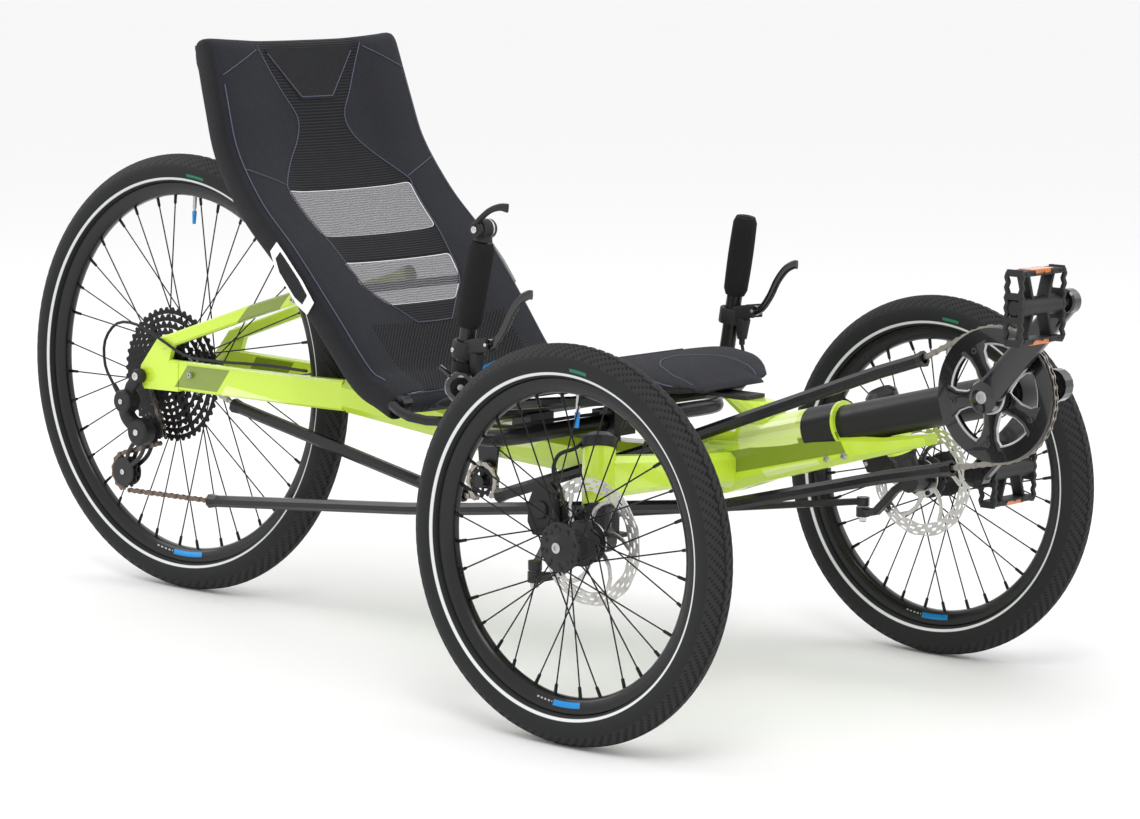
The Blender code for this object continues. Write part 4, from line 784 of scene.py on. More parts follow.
def wheels():
    for name, side in SIDES.items():
        centre = PIVOTS[f"front_wheel_{name}_spin"]
        tyre(f"front_tyre_{name}", f"front_wheel_{name}", centre)
        rim(f"front_rim_{name}", f"front_wheel_{name}", centre)
        front_hub(name, side)
        rotor(name, side)
    tyre("rear_tyre", "rear_wheel", PIVOTS["rear_wheel_spin"])
    rim("rear_rim", "rear_wheel", PIVOTS["rear_wheel_spin"])
    rear_hub()


# Drive

# Shares of a link's pitch, and half the plate's width there
LINK_PLATE = [(-0.3, 0), (-0.2, 0.0028), (0, 0.0037), (0.5, 0.0025), (1, 0.0037), (1.2, 0.0028), (1.3, 0)]
PEDAL_LENGTH = 0.095
PEDAL_PLATE = 0.0412
PEDAL_AXLE = [
    (0, 0), (0.0068, 0), (0.0068, 0.014), (0.0128, 0.018), (0.0115, 0.06), (0.0128, 0.1), (0.0085, 0.1045),
    (0, 0.1045),
]


def tangent(centre, radius, outside, turn):
    """The angle where a line from an outside point touches a circle in the chain's plane."""
    away_y = outside.y - centre.y
    away_z = outside.z - centre.z
    return atan2(away_z, away_y) + turn * acos(radius / hypot(away_y, away_z))


def arc(centre, radius, start, end, steps):
    places = []
    for step in range(steps + 1):
        angle = start + (end - start) * step / steps
        places.append(Vector((centre.x, centre.y + radius * cos(angle), centre.z + radius * sin(angle))))
    return places


def chain(name, body, path, material, node):
    """Links along a path: rollers, and outer and inner plates by turns."""
    joints = [path[0]]
    for start, end in zip(path, path[1:]):
        while (end - joints[-1]).length >= CHAIN_PITCH and (end - joints[-1]).dot(end - start) > 0:
            joints.append(joints[-1] + (end - joints[-1]).normalized() * CHAIN_PITCH)
    shape = Shape()
    for index, (start, end) in enumerate(zip(joints, joints[1:])):
        along = (end - start).normalized()
        rise = X.cross(along).normalized()
        outline = LINK_PLATE + [(share, -wide) for share, wide in reversed(LINK_PLATE[1:-1])]
        places = [start + along * (share * CHAIN_PITCH * 0.98) + rise * wide for share, wide in outline]
        for sign in (-1, 1):
            middle = start.x + sign * (0.003 if index % 2 else 0.002)
            shape.slab(places, middle - 0.0005, middle + 0.0005)
        for half, radius in ((0.0038, 0.0018), (0.0014, 0.0031)):
            shape.rod(start - X * half, start + X * half, radius, 8)
    shape.piece(name, body, [material], [node], "chain_steel")


def chains():
    """The five runs of chain, each on the body that carries it."""
    drop = CHAIN_HEIGHT / 2 + CHAIN_GAP
    upper_mouth = at(CHAIN_X, -0.284, 0.4776)
    lower_mouth = at(CHAIN_X, -0.33, 0.3456)
    ring = Vector((CHAIN_X, BRACKET.y, BRACKET.z))
    ring_r = CHAINRING_R + drop
    leave = tangent(ring, ring_r, upper_mouth, 1)
    wrap = arc(ring, ring_r, leave, tangent(ring, ring_r, lower_mouth, -1) + 2 * pi, 30)
    upper_in = upper_mouth.lerp(at(CHAIN_X, -0.217, 0.455), 0.45)
    lower_in = lower_mouth.lerp(at(CHAIN_X - 0.001, -0.2205, 0.321), 0.28)
    path = [upper_in, upper_mouth, *wrap, lower_mouth, lower_in]
    chain("chain_front_links", "boom_slider", path, CHAIN_BRIGHT, "chain_front_span")
    idler_r = IDLER_R + drop
    front_bend = at(CHAIN_X + 0.001, 0.071, 0.3455)
    back_bend = at(IDLER.x - 0.002, 0.572, 0.2245)
    leave = tangent(IDLER, idler_r, back_bend, -1)
    under = arc(IDLER, idler_r, leave, tangent(IDLER, idler_r, front_bend, 1), 30)
    path = [under[0].lerp(back_bend, 0.42), *under, under[-1].lerp(front_bend, 0.1)]
    chain("chain_idler_links", "frame", path, CHAIN_BRIGHT, "chain_idler_span")
    cog_r = SMALL_COG_R + drop
    upper_r = JOCKEY_R + drop
    lower_r = LOWER_JOCKEY_R + drop
    rear_mouth = at(COG_X + 0.001, 0.935, 0.297)
    line = JOCKEY - COG
    leave = atan2(line.z, line.y) + acos((cog_r + upper_r) / hypot(line.y, line.z))
    path = [rear_mouth.lerp(back_bend, 0.06), rear_mouth]
    path += arc(COG, cog_r, tangent(COG, cog_r, rear_mouth, -1) + 2 * pi, leave, 30)
    path += arc(JOCKEY, upper_r, leave + pi, leave + pi + 0.7, 10)
    chain("chain_rear_links", "frame", path, CHAIN_BRIGHT, "chain_rear_span")
    line = LOWER_JOCKEY - JOCKEY
    cross = atan2(line.z, line.y) - acos((upper_r + lower_r) / hypot(line.y, line.z))
    return_mouth = at(COG_X - 0.002, 0.982, 0.151)
    end = tangent(LOWER_JOCKEY, lower_r, return_mouth, 1)
    while end > cross + pi:
        end -= 2 * pi
    path = arc(JOCKEY, upper_r, cross - 0.5, cross, 8) + arc(LOWER_JOCKEY, lower_r, cross + pi, end, 30)
    chain("chain_cage_links", "derailleur_arm", path, CHAIN_BROWN, "chain_cage_span")
    inside = return_mouth.lerp(at(-0.067, 0.577, 0.189), 0.06)
    path = [path[-1].lerp(return_mouth, 0.03), return_mouth, inside]
    chain("chain_return_links", "frame", path, CHAIN_BROWN, "chain_return_span")


def sprockets():
    """Nine sprockets, the larger ones with windows between their arms."""
    shape = Shape()
    for index in range(COGS):
        share = index / (COGS - 1)
        tip = SMALL_COG_R + (LARGE_COG_R - SMALL_COG_R) * share**1.12
        centre = COG + X * COG_SPACING * index
        teeth = round(2 * pi * (tip - 0.003) / CHAIN_PITCH)
        inner = max(tip - 0.01, 0.016)
        shape.sprocket(centre, tip, tip - 0.0042, inner, teeth, 0.0016)
        if inner > 0.02:
            for arm in range(6):
                turn = 2 * pi * arm / 6 + 0.25 * share
                path = [polar(centre, 0.0165, turn), polar(centre, inner + 0.001, turn + 0.28)]
                shape.swept(path, pillow(0.0042, 0.0008, 0.4, 8), X)
    shape.turned([(0.016, -0.0045), (0.0205, -0.0045), (0.0215, 0.027), (0.016, 0.027)], COG, X, 40)
    shape.mark = 1
    shape.tube(COG, 0.016, 0.019, -0.006, -0.004, X, 40)
    shape.piece("sprockets", "cassette_body", [SPROCKET, ALLOY], ["cassette"], "black_metal")


def wheel_of_teeth(name, node, body, centre, radius, teeth):
    """A small toothed pulley with a bearing and windows."""
    shape = Shape().sprocket(centre, radius, radius - 0.004, radius * 0.62, teeth, 0.0024)
    shape.tube(centre, 0.0046, radius * 0.36, -0.0042, 0.0042)
    for arm in range(6):
        path = [polar(centre, radius * share, 2 * pi * arm / 6) for share in (0.3, 0.66)]
        shape.swept(path, pillow(0.0022, 0.0011, 0.4, 8), X)
    shape.piece(name, body, [PLASTIC], [node], "black_plastic")


def derailleur():
    """The rear derailleur's body, cage and bolts."""
    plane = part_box("rear_stay_right")[0][0] - 0.0063
    hanger = Vector((plane, COG.y + 0.014, COG.z + 0.001))
    upper = Vector((plane, COG.y + 0.04, 0.287))
    lower = Vector((COG_X - 0.019, JOCKEY.y, JOCKEY.z))
    profile = [(0, -0.0055), (0.009, -0.0055), (0.011, -0.0035), (0.011, 0.0055), (0, 0.0055)]
    shape = Shape().turned(profile, hanger, X, 28)
    path = [hanger, hanger.lerp(upper, 0.5) + Vector((0, 0.004, 0.002)), upper]
    shape.swept(path, pillow(0.0095, 0.0045), X)
    profile = [(0, -0.012), (0.015, -0.012), (0.0175, -0.0095), (0.018, 0.0095), (0.016, 0.012), (0, 0.012)]
    shape.turned(profile, upper)
    bend = upper.lerp(lower, 0.5) + Vector((0, 0.012, -0.004))
    path = smooth([upper + Vector((0.002, 0.004, -0.006)), bend, lower], 6)
    sections = [pillow(0.0135 - 0.003 * sin(pi * step / 12), 0.0095) for step in range(len(path))]
    shape.swept(path, sections, X)
    profile = [(0, -0.014), (0.017, -0.014), (0.0205, -0.011), (0.021, 0.004), (0.019, 0.0085), (0, 0.0085)]
    shape.turned(profile, lower)
    barrel = upper + Vector((-0.002, 0.015, 0.01))
    shape.rod(barrel, barrel + Vector((0, 0.01, 0.012)), 0.004, 14, 0.0034)
    shape.mark = 1
    for place, sink, height, radius in (
        (hanger, 0.0053, 0.003, 0.0062), (upper, 0.0118, 0.002, 0.0042), (lower, 0.0138, 0.0017, 0.005)
    ):
        shape.bolt(place - X * sink, X * -height, radius)
    shape.piece("derailleur_fine", "frame", [PLASTIC, STEEL], ["derailleur_body"], "black_plastic", 0.0006)
    cage = Shape()
    bow = Vector((0, 0.01, 0.006))
    for middle in (COG_X - 0.0075, COG_X + 0.0075):
        start = Vector((middle, JOCKEY.y, JOCKEY.z))
        end = Vector((middle, LOWER_JOCKEY.y, LOWER_JOCKEY.z))
        for sign in (1, -1):
            path = smooth([start, start.lerp(end, 0.5) + bow * sign, end], 6)
            cage.swept(path, pillow(0.0034, 0.0013, 0.4, 10), X)
        cage.tube(start, 0, 0.012, -0.0014, 0.0014)
        cage.tube(end, 0, 0.0215, -0.0014, 0.0014, X, 36)
    for place in (JOCKEY, LOWER_JOCKEY):
        cage.rod(place - X * 0.0085, place + X * 0.0085, 0.0028)
    cage.mark = 1
    cage.bolt(LOWER_JOCKEY - X * 0.0088, X * -0.002, 0.0042)
    cage.piece("derailleur_cage_fine", "derailleur_arm", [SATIN, STEEL], ["derailleur_cage"], "black_metal")


def crank_path(side):
    end = PIVOTS[f"pedal_{'right' if side < 0 else 'left'}_spin"]
    middle = side * CRANK_X
    return Vector((middle, BRACKET.y, BRACKET.z)), Vector((middle, end.y, end.z))


def cranks():
    """The drive-side crank, its spider, guard ring and chainring, and the trim of the other crank."""
    start, end = crank_path(-1)
    arm = Shape()
    steps = 12
    path = [start.lerp(end, step / steps) for step in range(steps + 1)]
    sections = [pillow(0.0176 - 0.0022 * step / steps, 0.0078, 0.45, 24) for step in range(steps + 1)]
    arm.swept(path, sections, X)
    for place, radius in ((start, 0.0205), (end, 0.0155)):
        profile = [(0, -0.0084), (radius * 0.85, -0.0084), (radius, -0.0062), (radius, 0.007)]
        arm.turned(profile + [(radius * 0.9, 0.0084), (0, 0.0084)], place, X, 36)
    hub = Vector((CHAIN_X - 0.0039, BRACKET.y, BRACKET.z))
    profile = [(0.0125, 0.0005), (0.02, 0.0005), (0.022, -0.006), (0.02, -0.015), (0.0125, -0.015)]
    arm.turned(profile, hub, X, 40)
    crank_turn = atan2(end.y - start.y, -(end.z - start.z))
    for index in range(5):
        turn = crank_turn + 2 * pi * index / 5
        path = [polar(hub, radius, turn, -0.0028) for radius in (0.012, 0.024, 0.04, 0.054, 0.066)]
        halves = (0.017, 0.0118, 0.0096, 0.0125, 0.024)
        for mark, wider, thick in ((1, 0.0011, 0.0022), (0, 0.0, 0.0026)):
            arm.mark = mark
            arm.swept(path, [pillow(half + wider, thick, 0.4, 16) for half in halves], X)
        bolt = polar(hub, 0.06, turn)
        arm.rod(bolt + X * 0.0022, bolt - X * 0.003, 0.0046)
        arm.bolt(bolt - X * 0.005, X * -0.0016, 0.004)
    guard = [(-0.02, -0.0048), (-0.0008, -0.0054), (0, -0.0044), (0, -0.0004), (-0.02, 0)]
    lip = [(-0.0216, -0.004), (-0.02, -0.005), (-0.019, -0.0049), (-0.0196, -0.001), (-0.0216, -0.001)]
    for mark, profile in enumerate((guard, lip)):
        arm.mark = mark
        arm.turned([(GUARD_R + out, along) for out, along in profile], hub, X, 96)
    profile = [(0.0205, -0.015), (0.0228, -0.0142), (0.0228, -0.0128), (0.0205, -0.013)]
    arm.turned(profile, hub, X, 48)
    arm.bolt(start - X * 0.0082, X * -0.0018, 0.0078)
    arm.bolt(end - X * 0.0082, X * -0.0016, 0.007)
    arm.piece("crank_right_fine", "cranks", [GLOSS_BLACK, ALLOY], ["crank_right"], "black_metal")
    ring = Shape().sprocket(hub + X * 0.0039, CHAINRING_R, CHAINRING_R - 0.005, 0.0625, 38, 0.0024)
    ring.piece("chainring_fine", "cranks", [SPROCKET], ["chainring"], "black_metal")
    start, end = crank_path(1)
    trim = Shape().bolt(start + X * 0.0084, X * 0.0018, 0.01)
    trim.bolt(end + X * 0.0084, X * 0.0014, 0.007)
    trim.piece("crank_left_bolts", "cranks", [ALLOY], slot="steel")


def pedals():
    """Cage pedals that stand on edge, with an amber reflector on the upper and lower plates."""
    for name, side in SIDES.items():
        start = PIVOTS[f"pedal_{name}_spin"]
        middle = start + X * side * (0.012 + PEDAL_LENGTH / 2)
        shape = Shape().turned(PEDAL_AXLE, start, X * side, 28)
        for up in (-1, 1):
            plate = middle + Z * up * PEDAL_PLATE
            for end in (-1, 1):
                shape.block(plate + X * end * 0.03, (0.026, 0.022, 0.005))
                inner = middle + X * end * 0.015
                strut = [inner + Z * up * 0.006, inner + Vector((end * 0.012, 0, up * 0.04))]
                shape.swept(strut, pillow(0.0026, 0.0085, 0.3, 12), Y)
                for tooth in range(5):
                    place = plate + Vector((0.018 * (tooth - 2), end * 0.0115, -up * 0.002))
                    shape.rod(place, place + Y * end * 0.0014, 0.0022, 6, 0.0012)
            shape.block(plate - Z * up * 0.003, (0.088, 0.024, 0.0022))
        for end in (-1, 1):
            for rung in (-0.0415, -0.014, 0.014, 0.0415):
                shape.block(middle + Vector((end * 0.044, 0, rung)), (0.005, 0.0205, 0.008))
            for edge in (-1, 1):
                rail = []
                for step in range(29):
                    out = edge * (0.01 - 0.0012 * cos(2 * pi * step / 4))
                    rail.append(middle + Vector((end * 0.044, out, -0.0425 + 0.085 * step / 28)))
                shape.swept(rail, pillow(0.0032, 0.0028, 0.6, 10), Y)
        shape.mark = 1
        for up in (-1, 1):
            shape.block(middle + Z * up * PEDAL_PLATE, (0.044, 0.02, 0.007))
        shape.mark = 2
        shape.rod(start, start + X * side * 0.011, 0.0062, 16)
        materials = [PLASTIC, AMBER, STEEL]
        node = f"pedal_{name}"
        shape.piece(f"pedal_fine_{name}", f"pedal_{name[0]}", materials, [node], "black_plastic", 0.0008)


# Steering

BAR_HALF = [
    (0.272, 0.254, 0.598), (0.275, 0.266, 0.535), (0.276, 0.277, 0.471), (0.275, 0.288, 0.4),
    (0.268, 0.296, 0.358), (0.244, 0.282, 0.34), (0.21, 0.26, 0.338), (0.1, 0.26, 0.338),
]
BAR_X = 0.276
BAR_LEAN = Vector((0, -0.16, 1))
GRIP_LOW_Z = 0.484
BRAKE_BLADE = [
    (0.004, -0.003), (-0.01, 0.004), (-0.024, 0.022), (-0.036, 0.044), (-0.05, 0.061), (-0.064, 0.069),
    (-0.07, 0.0695),
]
SHIFT_BLADE = [(0.004, 0.004), (-0.012, 0.018), (-0.026, 0.027), (-0.042, 0.0315), (-0.054, 0.031)]
CALIPER_OUTLINE = [
    (0.046, 0.262), (0.06, 0.251), (0.084, 0.25), (0.093, 0.266), (0.092, 0.29), (0.084, 0.308),
    (0.066, 0.318), (0.052, 0.306), (0.048, 0.284),
]
FRAME_HOSE = [
    (0.29, 0.052, 0.352), (0.25, 0.062, 0.338), (0.18, 0.066, 0.327), (0.09, 0.067, 0.325),
    (0.04, 0.078, 0.33),
]
CALIPER_CROWN = [
    (0.078, 0.252), (0.093, 0.262), (0.093, 0.292), (0.086, 0.306), (0.0815, 0.3), (0.083, 0.275),
]


def steering():
    """The handlebar, its grips and everything fixed to it."""
    sides = {name: [at(side * x, y, z) for x, y, z in BAR_HALF] for name, side in SIDES.items()}
    bar = Shape().swept(smooth(sides["right"] + sides["left"][::-1], 8), circle(0.011, 20))
    bar.piece("handlebar_fine", "steering", [SATIN], ["handlebar"], "black_metal")
    for name, side in SIDES.items():
        grip = [place for place in smooth(sides[name], 8) if place.z > GRIP_LOW_Z]
        last = len(grip) - 1
        sections = []
        for step in range(last + 1):
            pinch = 0.003 if step in (0, last) else 0.0
            sections.append(circle(0.0165 + 0.0012 * sin(pi * step / last) - pinch, 28))
        foam_grip = Shape().swept(grip, sections)
        foam_grip.piece(f"grip_foam_{name}", "steering", [FOAM], [f"grip_{name}"], "foam")
        controls(name, side)
    shifter()
    extras()


def mirrored_profile(half):
    """A profile from its (radius, distance) points on one side of the middle."""
    return [(radius, -along) for radius, along in half] + half[::-1]


def controls(name, side):
    """Brake lever, its body and master cylinder, and the hose's nut."""
    pivot = PIVOTS[f"brake_lever_{name}_pull"]
    bar = at(side * BAR_X, 0.2792, 0.458)
    body = Shape().turned(mirrored_profile([(0.0126, 0.011), (0.017, 0.011), (0.0178, 0.009)]), bar, BAR_LEAN)
    for end in (-1, 1):
        first = bar + X * end * 0.008
        last = pivot + X * end * 0.0086 - Y * 0.002
        path = [first, first.lerp(last, 0.5) + Z * 0.002, last]
        body.swept(path, pillow(0.0026, 0.0095, 0.5, 16), Z)
    tank = bar + Vector((0, -0.02, -0.006))
    path = [tank + Vector((0, 0.004, 0.006)), tank, tank + Vector((0, 0.001, -0.026))]
    body.swept(path, [pillow(0.0095, 0.0085), pillow(0.0098, 0.009), pillow(0.006, 0.0055)], Y)
    body.rod(tank + Vector((0, 0.001, -0.024)), tank + Vector((0, 0.001, -0.034)), 0.0042)
    body.mark = 1
    body.rod(pivot - X * 0.0114, pivot + X * 0.0114, 0.0024, 14)
    body.bolt(bar + Vector((side * 0.0165, 0.006, 0)), Vector((side * 0.0025, 0.0008, 0)), 0.0032)
    node = f"brake_body_{name}"
    body.piece(f"brake_body_fine_{name}", "steering", [PLASTIC, STEEL], [node], "black_plastic", 0.0005)
    path = smooth([pivot + Vector((0, y, z)) for y, z in BRAKE_BLADE], 5)
    shares = [step / len(path) for step in range(len(path))]
    sections = [pillow(0.005 + 0.0012 * share, 0.004 - 0.0016 * share, 0.6, 16) for share in shares]
    lever = Shape().swept(path, sections, X).tube(pivot, 0.003, 0.007, -0.0055, 0.0055, X, 24)
    node = f"brake_lever_{name}"
    lever.piece(f"brake_lever_fine_{name}", f"brake_blade_{name}", [GLOSS_BLACK], [node], "black_metal")


def shifter():
    """The shifter on the right bar: plug, drum with a silver ring, and its long thumb lever."""
    centre = PIVOTS["shifter_lever_turn"]
    profile = [(0.006, -0.012), (0.0118, -0.012), (0.0127, -0.01), (0.0127, 0.01), (0.011, 0.0125)]
    body = Shape().turned(profile + [(0, 0.0125), (0, -0.012)], centre, X, 36)
    body.swept([centre - Vector((0, -0.0025, 0.0155)), centre], [circle(0.0125, 20), circle(0.0095, 20)])
    body.rod(centre - X * 0.02, centre, 0.004, 16)
    body.mark = 1
    profile = [(0.0128, 0.003), (0.0133, 0.0036), (0.0133, 0.0056), (0.0128, 0.0062)]
    body.turned(profile, centre, X, 36)
    body.bolt(centre - X * 0.0198, X * -0.0016, 0.0048)
    body.piece("shifter_body_fine", "steering", [PLASTIC, STEEL], ["shifter_body"], "black_plastic", 0.0005)
    hub = centre - X * 0.0165
    profile = [(0.0044, -0.003), (0.01, -0.003), (0.0106, -0.0015), (0.0106, 0.003), (0.0044, 0.0035)]
    lever = Shape().turned(profile, hub)
    path = smooth([hub + Vector((0, y, z)) for y, z in SHIFT_BLADE], 5)
    shares = [step / len(path) for step in range(len(path))]
    sections = [pillow(0.0032 + 0.003 * share**2, 0.0042 - 0.0018 * share, 0.6, 16) for share in shares]
    lever.swept(path, sections, X)
    lever.piece("shifter_lever_fine", "shift_thumb", [PLASTIC], ["shifter_lever"], "black_plastic")


def extras():
    """The bell low on the right bar, and the cloth strap with a blue tag."""
    low = at(-BAR_X, 0.286, 0.412)
    clamp = mirrored_profile([(0.0118, 0.009), (0.016, 0.009), (0.0166, 0.007)])
    shape = Shape().turned(clamp, low, BAR_LEAN)
    face = low + Vector((-0.014, -0.012, 0))
    out = Vector((-0.75, -0.66, 0)).normalized()
    dome = [(0, 0), (0.017, 0), (0.0205, 0.004), (0.021, 0.011), (0.0185, 0.016), (0.0135, 0.0185)]
    shape.turned(dome + [(0.0125, 0.0165), (0, 0.0165)], face, out, 40)
    tab = face + out * 0.01 + Vector((-0.008, 0.01, 0.014))
    shape.swept([tab, tab + Vector((-0.006, 0.014, 0.012))], pillow(0.0055, 0.0022, 0.5, 12), Z)
    shape.mark = 1
    shape.turned([(0.0128, 0.017), (0.0138, 0.0182), (0.0145, 0.0176), (0.0138, 0.0165)], face, out, 40)
    shape.turned([(0, 0.016), (0.0045, 0.016), (0.004, 0.019), (0, 0.0195)], face, out, 24)
    shape.piece("bar_bell", "steering", [GLOSS_BLACK, ALLOY], slot="black_plastic")
    wrist = at(-0.2755, 0.283, 0.434)
    band = [(0.0118, -0.008), (0.015, -0.008), (0.0156, 0), (0.015, 0.008), (0.0118, 0.008)]
    strap = Shape().turned(band, wrist, BAR_LEAN, 28)
    strap.mark = 1
    lean = Matrix.Rotation(radians(-49), 3, "Z") @ Matrix.Rotation(radians(-24), 3, "Y")
    strap.block(wrist + Vector((0.01, -0.034, -0.006)), (0.036, 0.0014, 0.024), lean)
    strap.piece("bar_strap", "steering", [SMOOTH_CLOTH, BLUE], slot="fabric")


def hose(name, body, points, steps):
    tube = Shape().swept(smooth(points, steps), circle(0.0025, 12))
    tube.piece(name, body, [RUBBER], slot="cable_rubber")


def brakes():
    """Calipers, their bolts and hoses, and the ball joints' nuts."""
    for name, side in SIDES.items():
        plane = side * (abs(PIVOTS[f"front_wheel_{name}_spin"].x) - ROTOR_INSET)
        body = f"steering_knuckle_{name}"
        shape = Shape()
        places = [at(0, y, z) for y, z in CALIPER_OUTLINE]
        shape.slab(places, plane + side * 0.003, plane + side * 0.0125)
        shape.slab(places, plane - side * 0.003, plane - side * 0.013)
        crown = [at(0, y, z) for y, z in CALIPER_CROWN]
        shape.slab(crown, plane - side * 0.004, plane + side * 0.004)
        cap = [(0, 0), (0.0115, 0), (0.0115, 0.003), (0.0095, 0.005), (0, 0.005)]
        for out in (-side, side):
            shape.turned(cap, at(plane + out * 0.0123, 0.07, 0.283), X * out, 28)
        shape.mark = 1
        for y, z in ((0.085, 0.262), (0.07, 0.309)):
            shape.bolt(at(plane - side * 0.0125, y, z), X * side * -0.0025, 0.0034)
        node = f"caliper_{name}"
        shape.piece(f"caliper_fine_{name}", body, [PLASTIC, STEEL], [node], "black_plastic", 0.001)
        run = [(0.008, 0.066, 0.316), (0.01, 0.07, 0.334), (0.016, 0.066, 0.35), (0.026, 0.05, 0.358)]
        points = [at(plane - side * inset, y, z) for inset, y, z in run]
        hose(f"caliper_hose_{name}", body, points + [at(side * 0.3135, 0.0475, 0.364)], 8)
        nut = [(0, -0.0155), (0.0042, -0.0155), (0.006, -0.014), (0.006, -0.0085), (0, -0.0085)]
        nuts = Shape().turned(nut, PIVOTS[f"tie_rod_{name}_pivot"], Z, 6)
        nuts.piece(f"ball_joint_nut_{name}", body, [STEEL], slot="steel")
        points = [at(side * x, y, z) for x, y, z in FRAME_HOSE]
        hose(f"frame_hose_{name}", "frame", points, 6)


# Seat

BACK_LINE = [
    (0.517, 0.375), (0.547, 0.391), (0.608, 0.463), (0.68, 0.543), (0.748, 0.606), (0.8, 0.676),
    (0.826, 0.745), (0.851, 0.822),
]
BACK_CURVE = smooth([at(0, y, z) for y, z in BACK_LINE], 10)
SEAM = [
    (0.0, 0.18), (0.183, 0.18), (0.3, 0.5), (0.46, 0.57), (0.556, 0.6), (0.625, 0.62), (0.79, 0.21),
    (0.99, 0.55), (1.0, 0.56),
]
PIPING_EDGE = 0.955
WINDOWS = [(0.243, 0.375), (0.462, 0.61)]
TOP_DIP = 0.012
BACK_PROUD = 0.0105
BAND_TOP = 0.183
PANEL_OUTLINE = [
    (0.455, 0.002), (0.425, 0.002), (0.335, 0.001), (0.27, 0.003), (0.262, 0.024), (0.3, 0.031),
    (0.41, 0.031), (0.455, 0.02),
]
SIDE_WRAP = [(0.0035, 0.007), (0.0045, 0.018), (0.003, 0.031), (-0.01, 0.0355), (-0.026, 0.035)]
TOP_WRAP = [(0.011, 0.006), (0.014, 0.018), (0.012, 0.034), (-0.004, 0.04), (-0.036, 0.0395)]


def back_lengths():
    lengths = [0.0]
    for start, end in zip(BACK_CURVE, BACK_CURVE[1:]):
        lengths.append(lengths[-1] + (end - start).length)
    return lengths


BACK_LENGTHS = back_lengths()


def seam_at(v):
    """How far out the main seam lies at this height, as a share of the half width."""
    for (low, first), (high, second) in zip(SEAM, SEAM[1:]):
        if v <= high:
            share = max(0.0, (v - low) / (high - low))
            return first + (second - first) * share
    return SEAM[-1][1]


def back_place(u, v, proud=0.0):
    """A place on the backrest's front: u from -1 to 1 across, v from 0 at the bottom to 1 at the top."""
    goal = v * BACK_LENGTHS[-1]
    index = 0
    while index < len(BACK_LENGTHS) - 2 and BACK_LENGTHS[index + 1] < goal:
        index += 1
    start = BACK_CURVE[index]
    end = BACK_CURVE[index + 1]
    share = (goal - BACK_LENGTHS[index]) / (BACK_LENGTHS[index + 1] - BACK_LENGTHS[index])
    along = (end - start).normalized()
    front = Vector((0, -along.z, along.y))
    half = 0.19 + 0.013 * sin(pi * v) - 0.004 * v
    sag = 0.013 * (1 - u * u) * (0.35 + 0.65 * sin(pi * min(max(v, 0.0), 1.0)))
    bolster = 0.004 * cos(pi * (abs(u) - 0.72) / 0.5) if 0.47 < abs(u) < 0.97 else 0.0
    rim = 0.0045 * max(0.0, (abs(u) - 0.93) / 0.07) ** 2
    return start.lerp(end, share) + X * half * u + front * (BACK_PROUD - sag + bolster - rim + proud)


def top_of(u):
    """The cover's top edge, which dips between its two corners."""
    return 1.0 - TOP_DIP * (1 - abs(u) ** 4)


def back_directions(v):
    """Up along the backrest, and out of its front."""
    along = (back_place(0, min(v + 0.01, 1.0)) - back_place(0, min(v, 0.99))).normalized()
    return along, Vector((0, -along.z, along.y))


def back_rows():
    stops = [-0.062, 0.183, 0.243, 0.375, 0.462, 0.61, 0.625, 0.79, 0.925, 1.0]
    rows = [stops[0]]
    for low, high in zip(stops, stops[1:]):
        steps = max(1, round((high - low) / 0.018))
        rows += [low + (high - low) * (step + 1) / steps for step in range(steps)]
    return rows


INNER_COLUMNS = 10
OUTER_COLUMNS = 8


def across(column, v):
    """The sideways share of a column: the inner ones end on the seam, the outer ones on the edge."""
    seam = seam_at(v)
    if abs(column) <= INNER_COLUMNS:
        return seam * column / INNER_COLUMNS
    share = (abs(column) - INNER_COLUMNS) / OUTER_COLUMNS
    return (seam + (1.0 - seam) * share) * (1 if column > 0 else -1)


def cover_sheet(name, keep, proud, marks, materials, thickness, wrapped):
    """A cloth layer on the backrest's columns and rows. keep says which cells it has."""
    rows = back_rows()
    last = INNER_COLUMNS + OUTER_COLUMNS
    points = []
    number = {}

    def put(row, column, place):
        number[row, column] = len(points)
        points.append(place)

    for row, v in enumerate(rows):
        for column in range(-last, last + 1):
            u = across(column, v)
            put(row, column, back_place(u, min(v, top_of(u)) if v > 0.92 else v, proud))
        if wrapped:
            front = back_directions(v)[1]
            for sign in (-1, 1):
                edge = back_place(sign, v)
                for step, (out, back) in enumerate(SIDE_WRAP):
                    put(row, sign * (last + 1 + step), edge + X * sign * out - front * back)
    reach = last
    if wrapped:
        reach += len(SIDE_WRAP)
        along, front = back_directions(1.0)
        edge_row = len(rows) - 1
        for step, (rise, back) in enumerate(TOP_WRAP, 1):
            rows.append(1.0 + 0.01 * step)
            for column in range(-reach, reach + 1):
                start = points[number[edge_row, column]]
                tucked = max(back, (BACK_CURVE[-1] - start).dot(front) + BACK_PROUD)
                inside = abs(column) <= last
                offset = along * rise - front * tucked if inside else along * max(rise, 0.002) * 0.5
                put(edge_row + step, column, start + offset)
    faces = []
    face_marks = []
    for row in range(len(rows) - 1):
        v = (rows[row] + rows[row + 1]) / 2
        for column in range(-reach, reach):
            if keep(column + 0.5, v):
                low = [number[row, column], number[row, column + 1]]
                faces.append(low + [number[row + 1, column + 1], number[row + 1, column]])
                face_marks.append(marks(column + 0.5, v))
    item = add_object(name, mesh_of(name, points, faces, face_marks, materials, clean=True))
    add_modifier(item, "SOLIDIFY", thickness=thickness, offset=0.0)
    add_modifier(item, "SUBSURF", levels=1, render_levels=1)
    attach(item, "backrest")
    return item


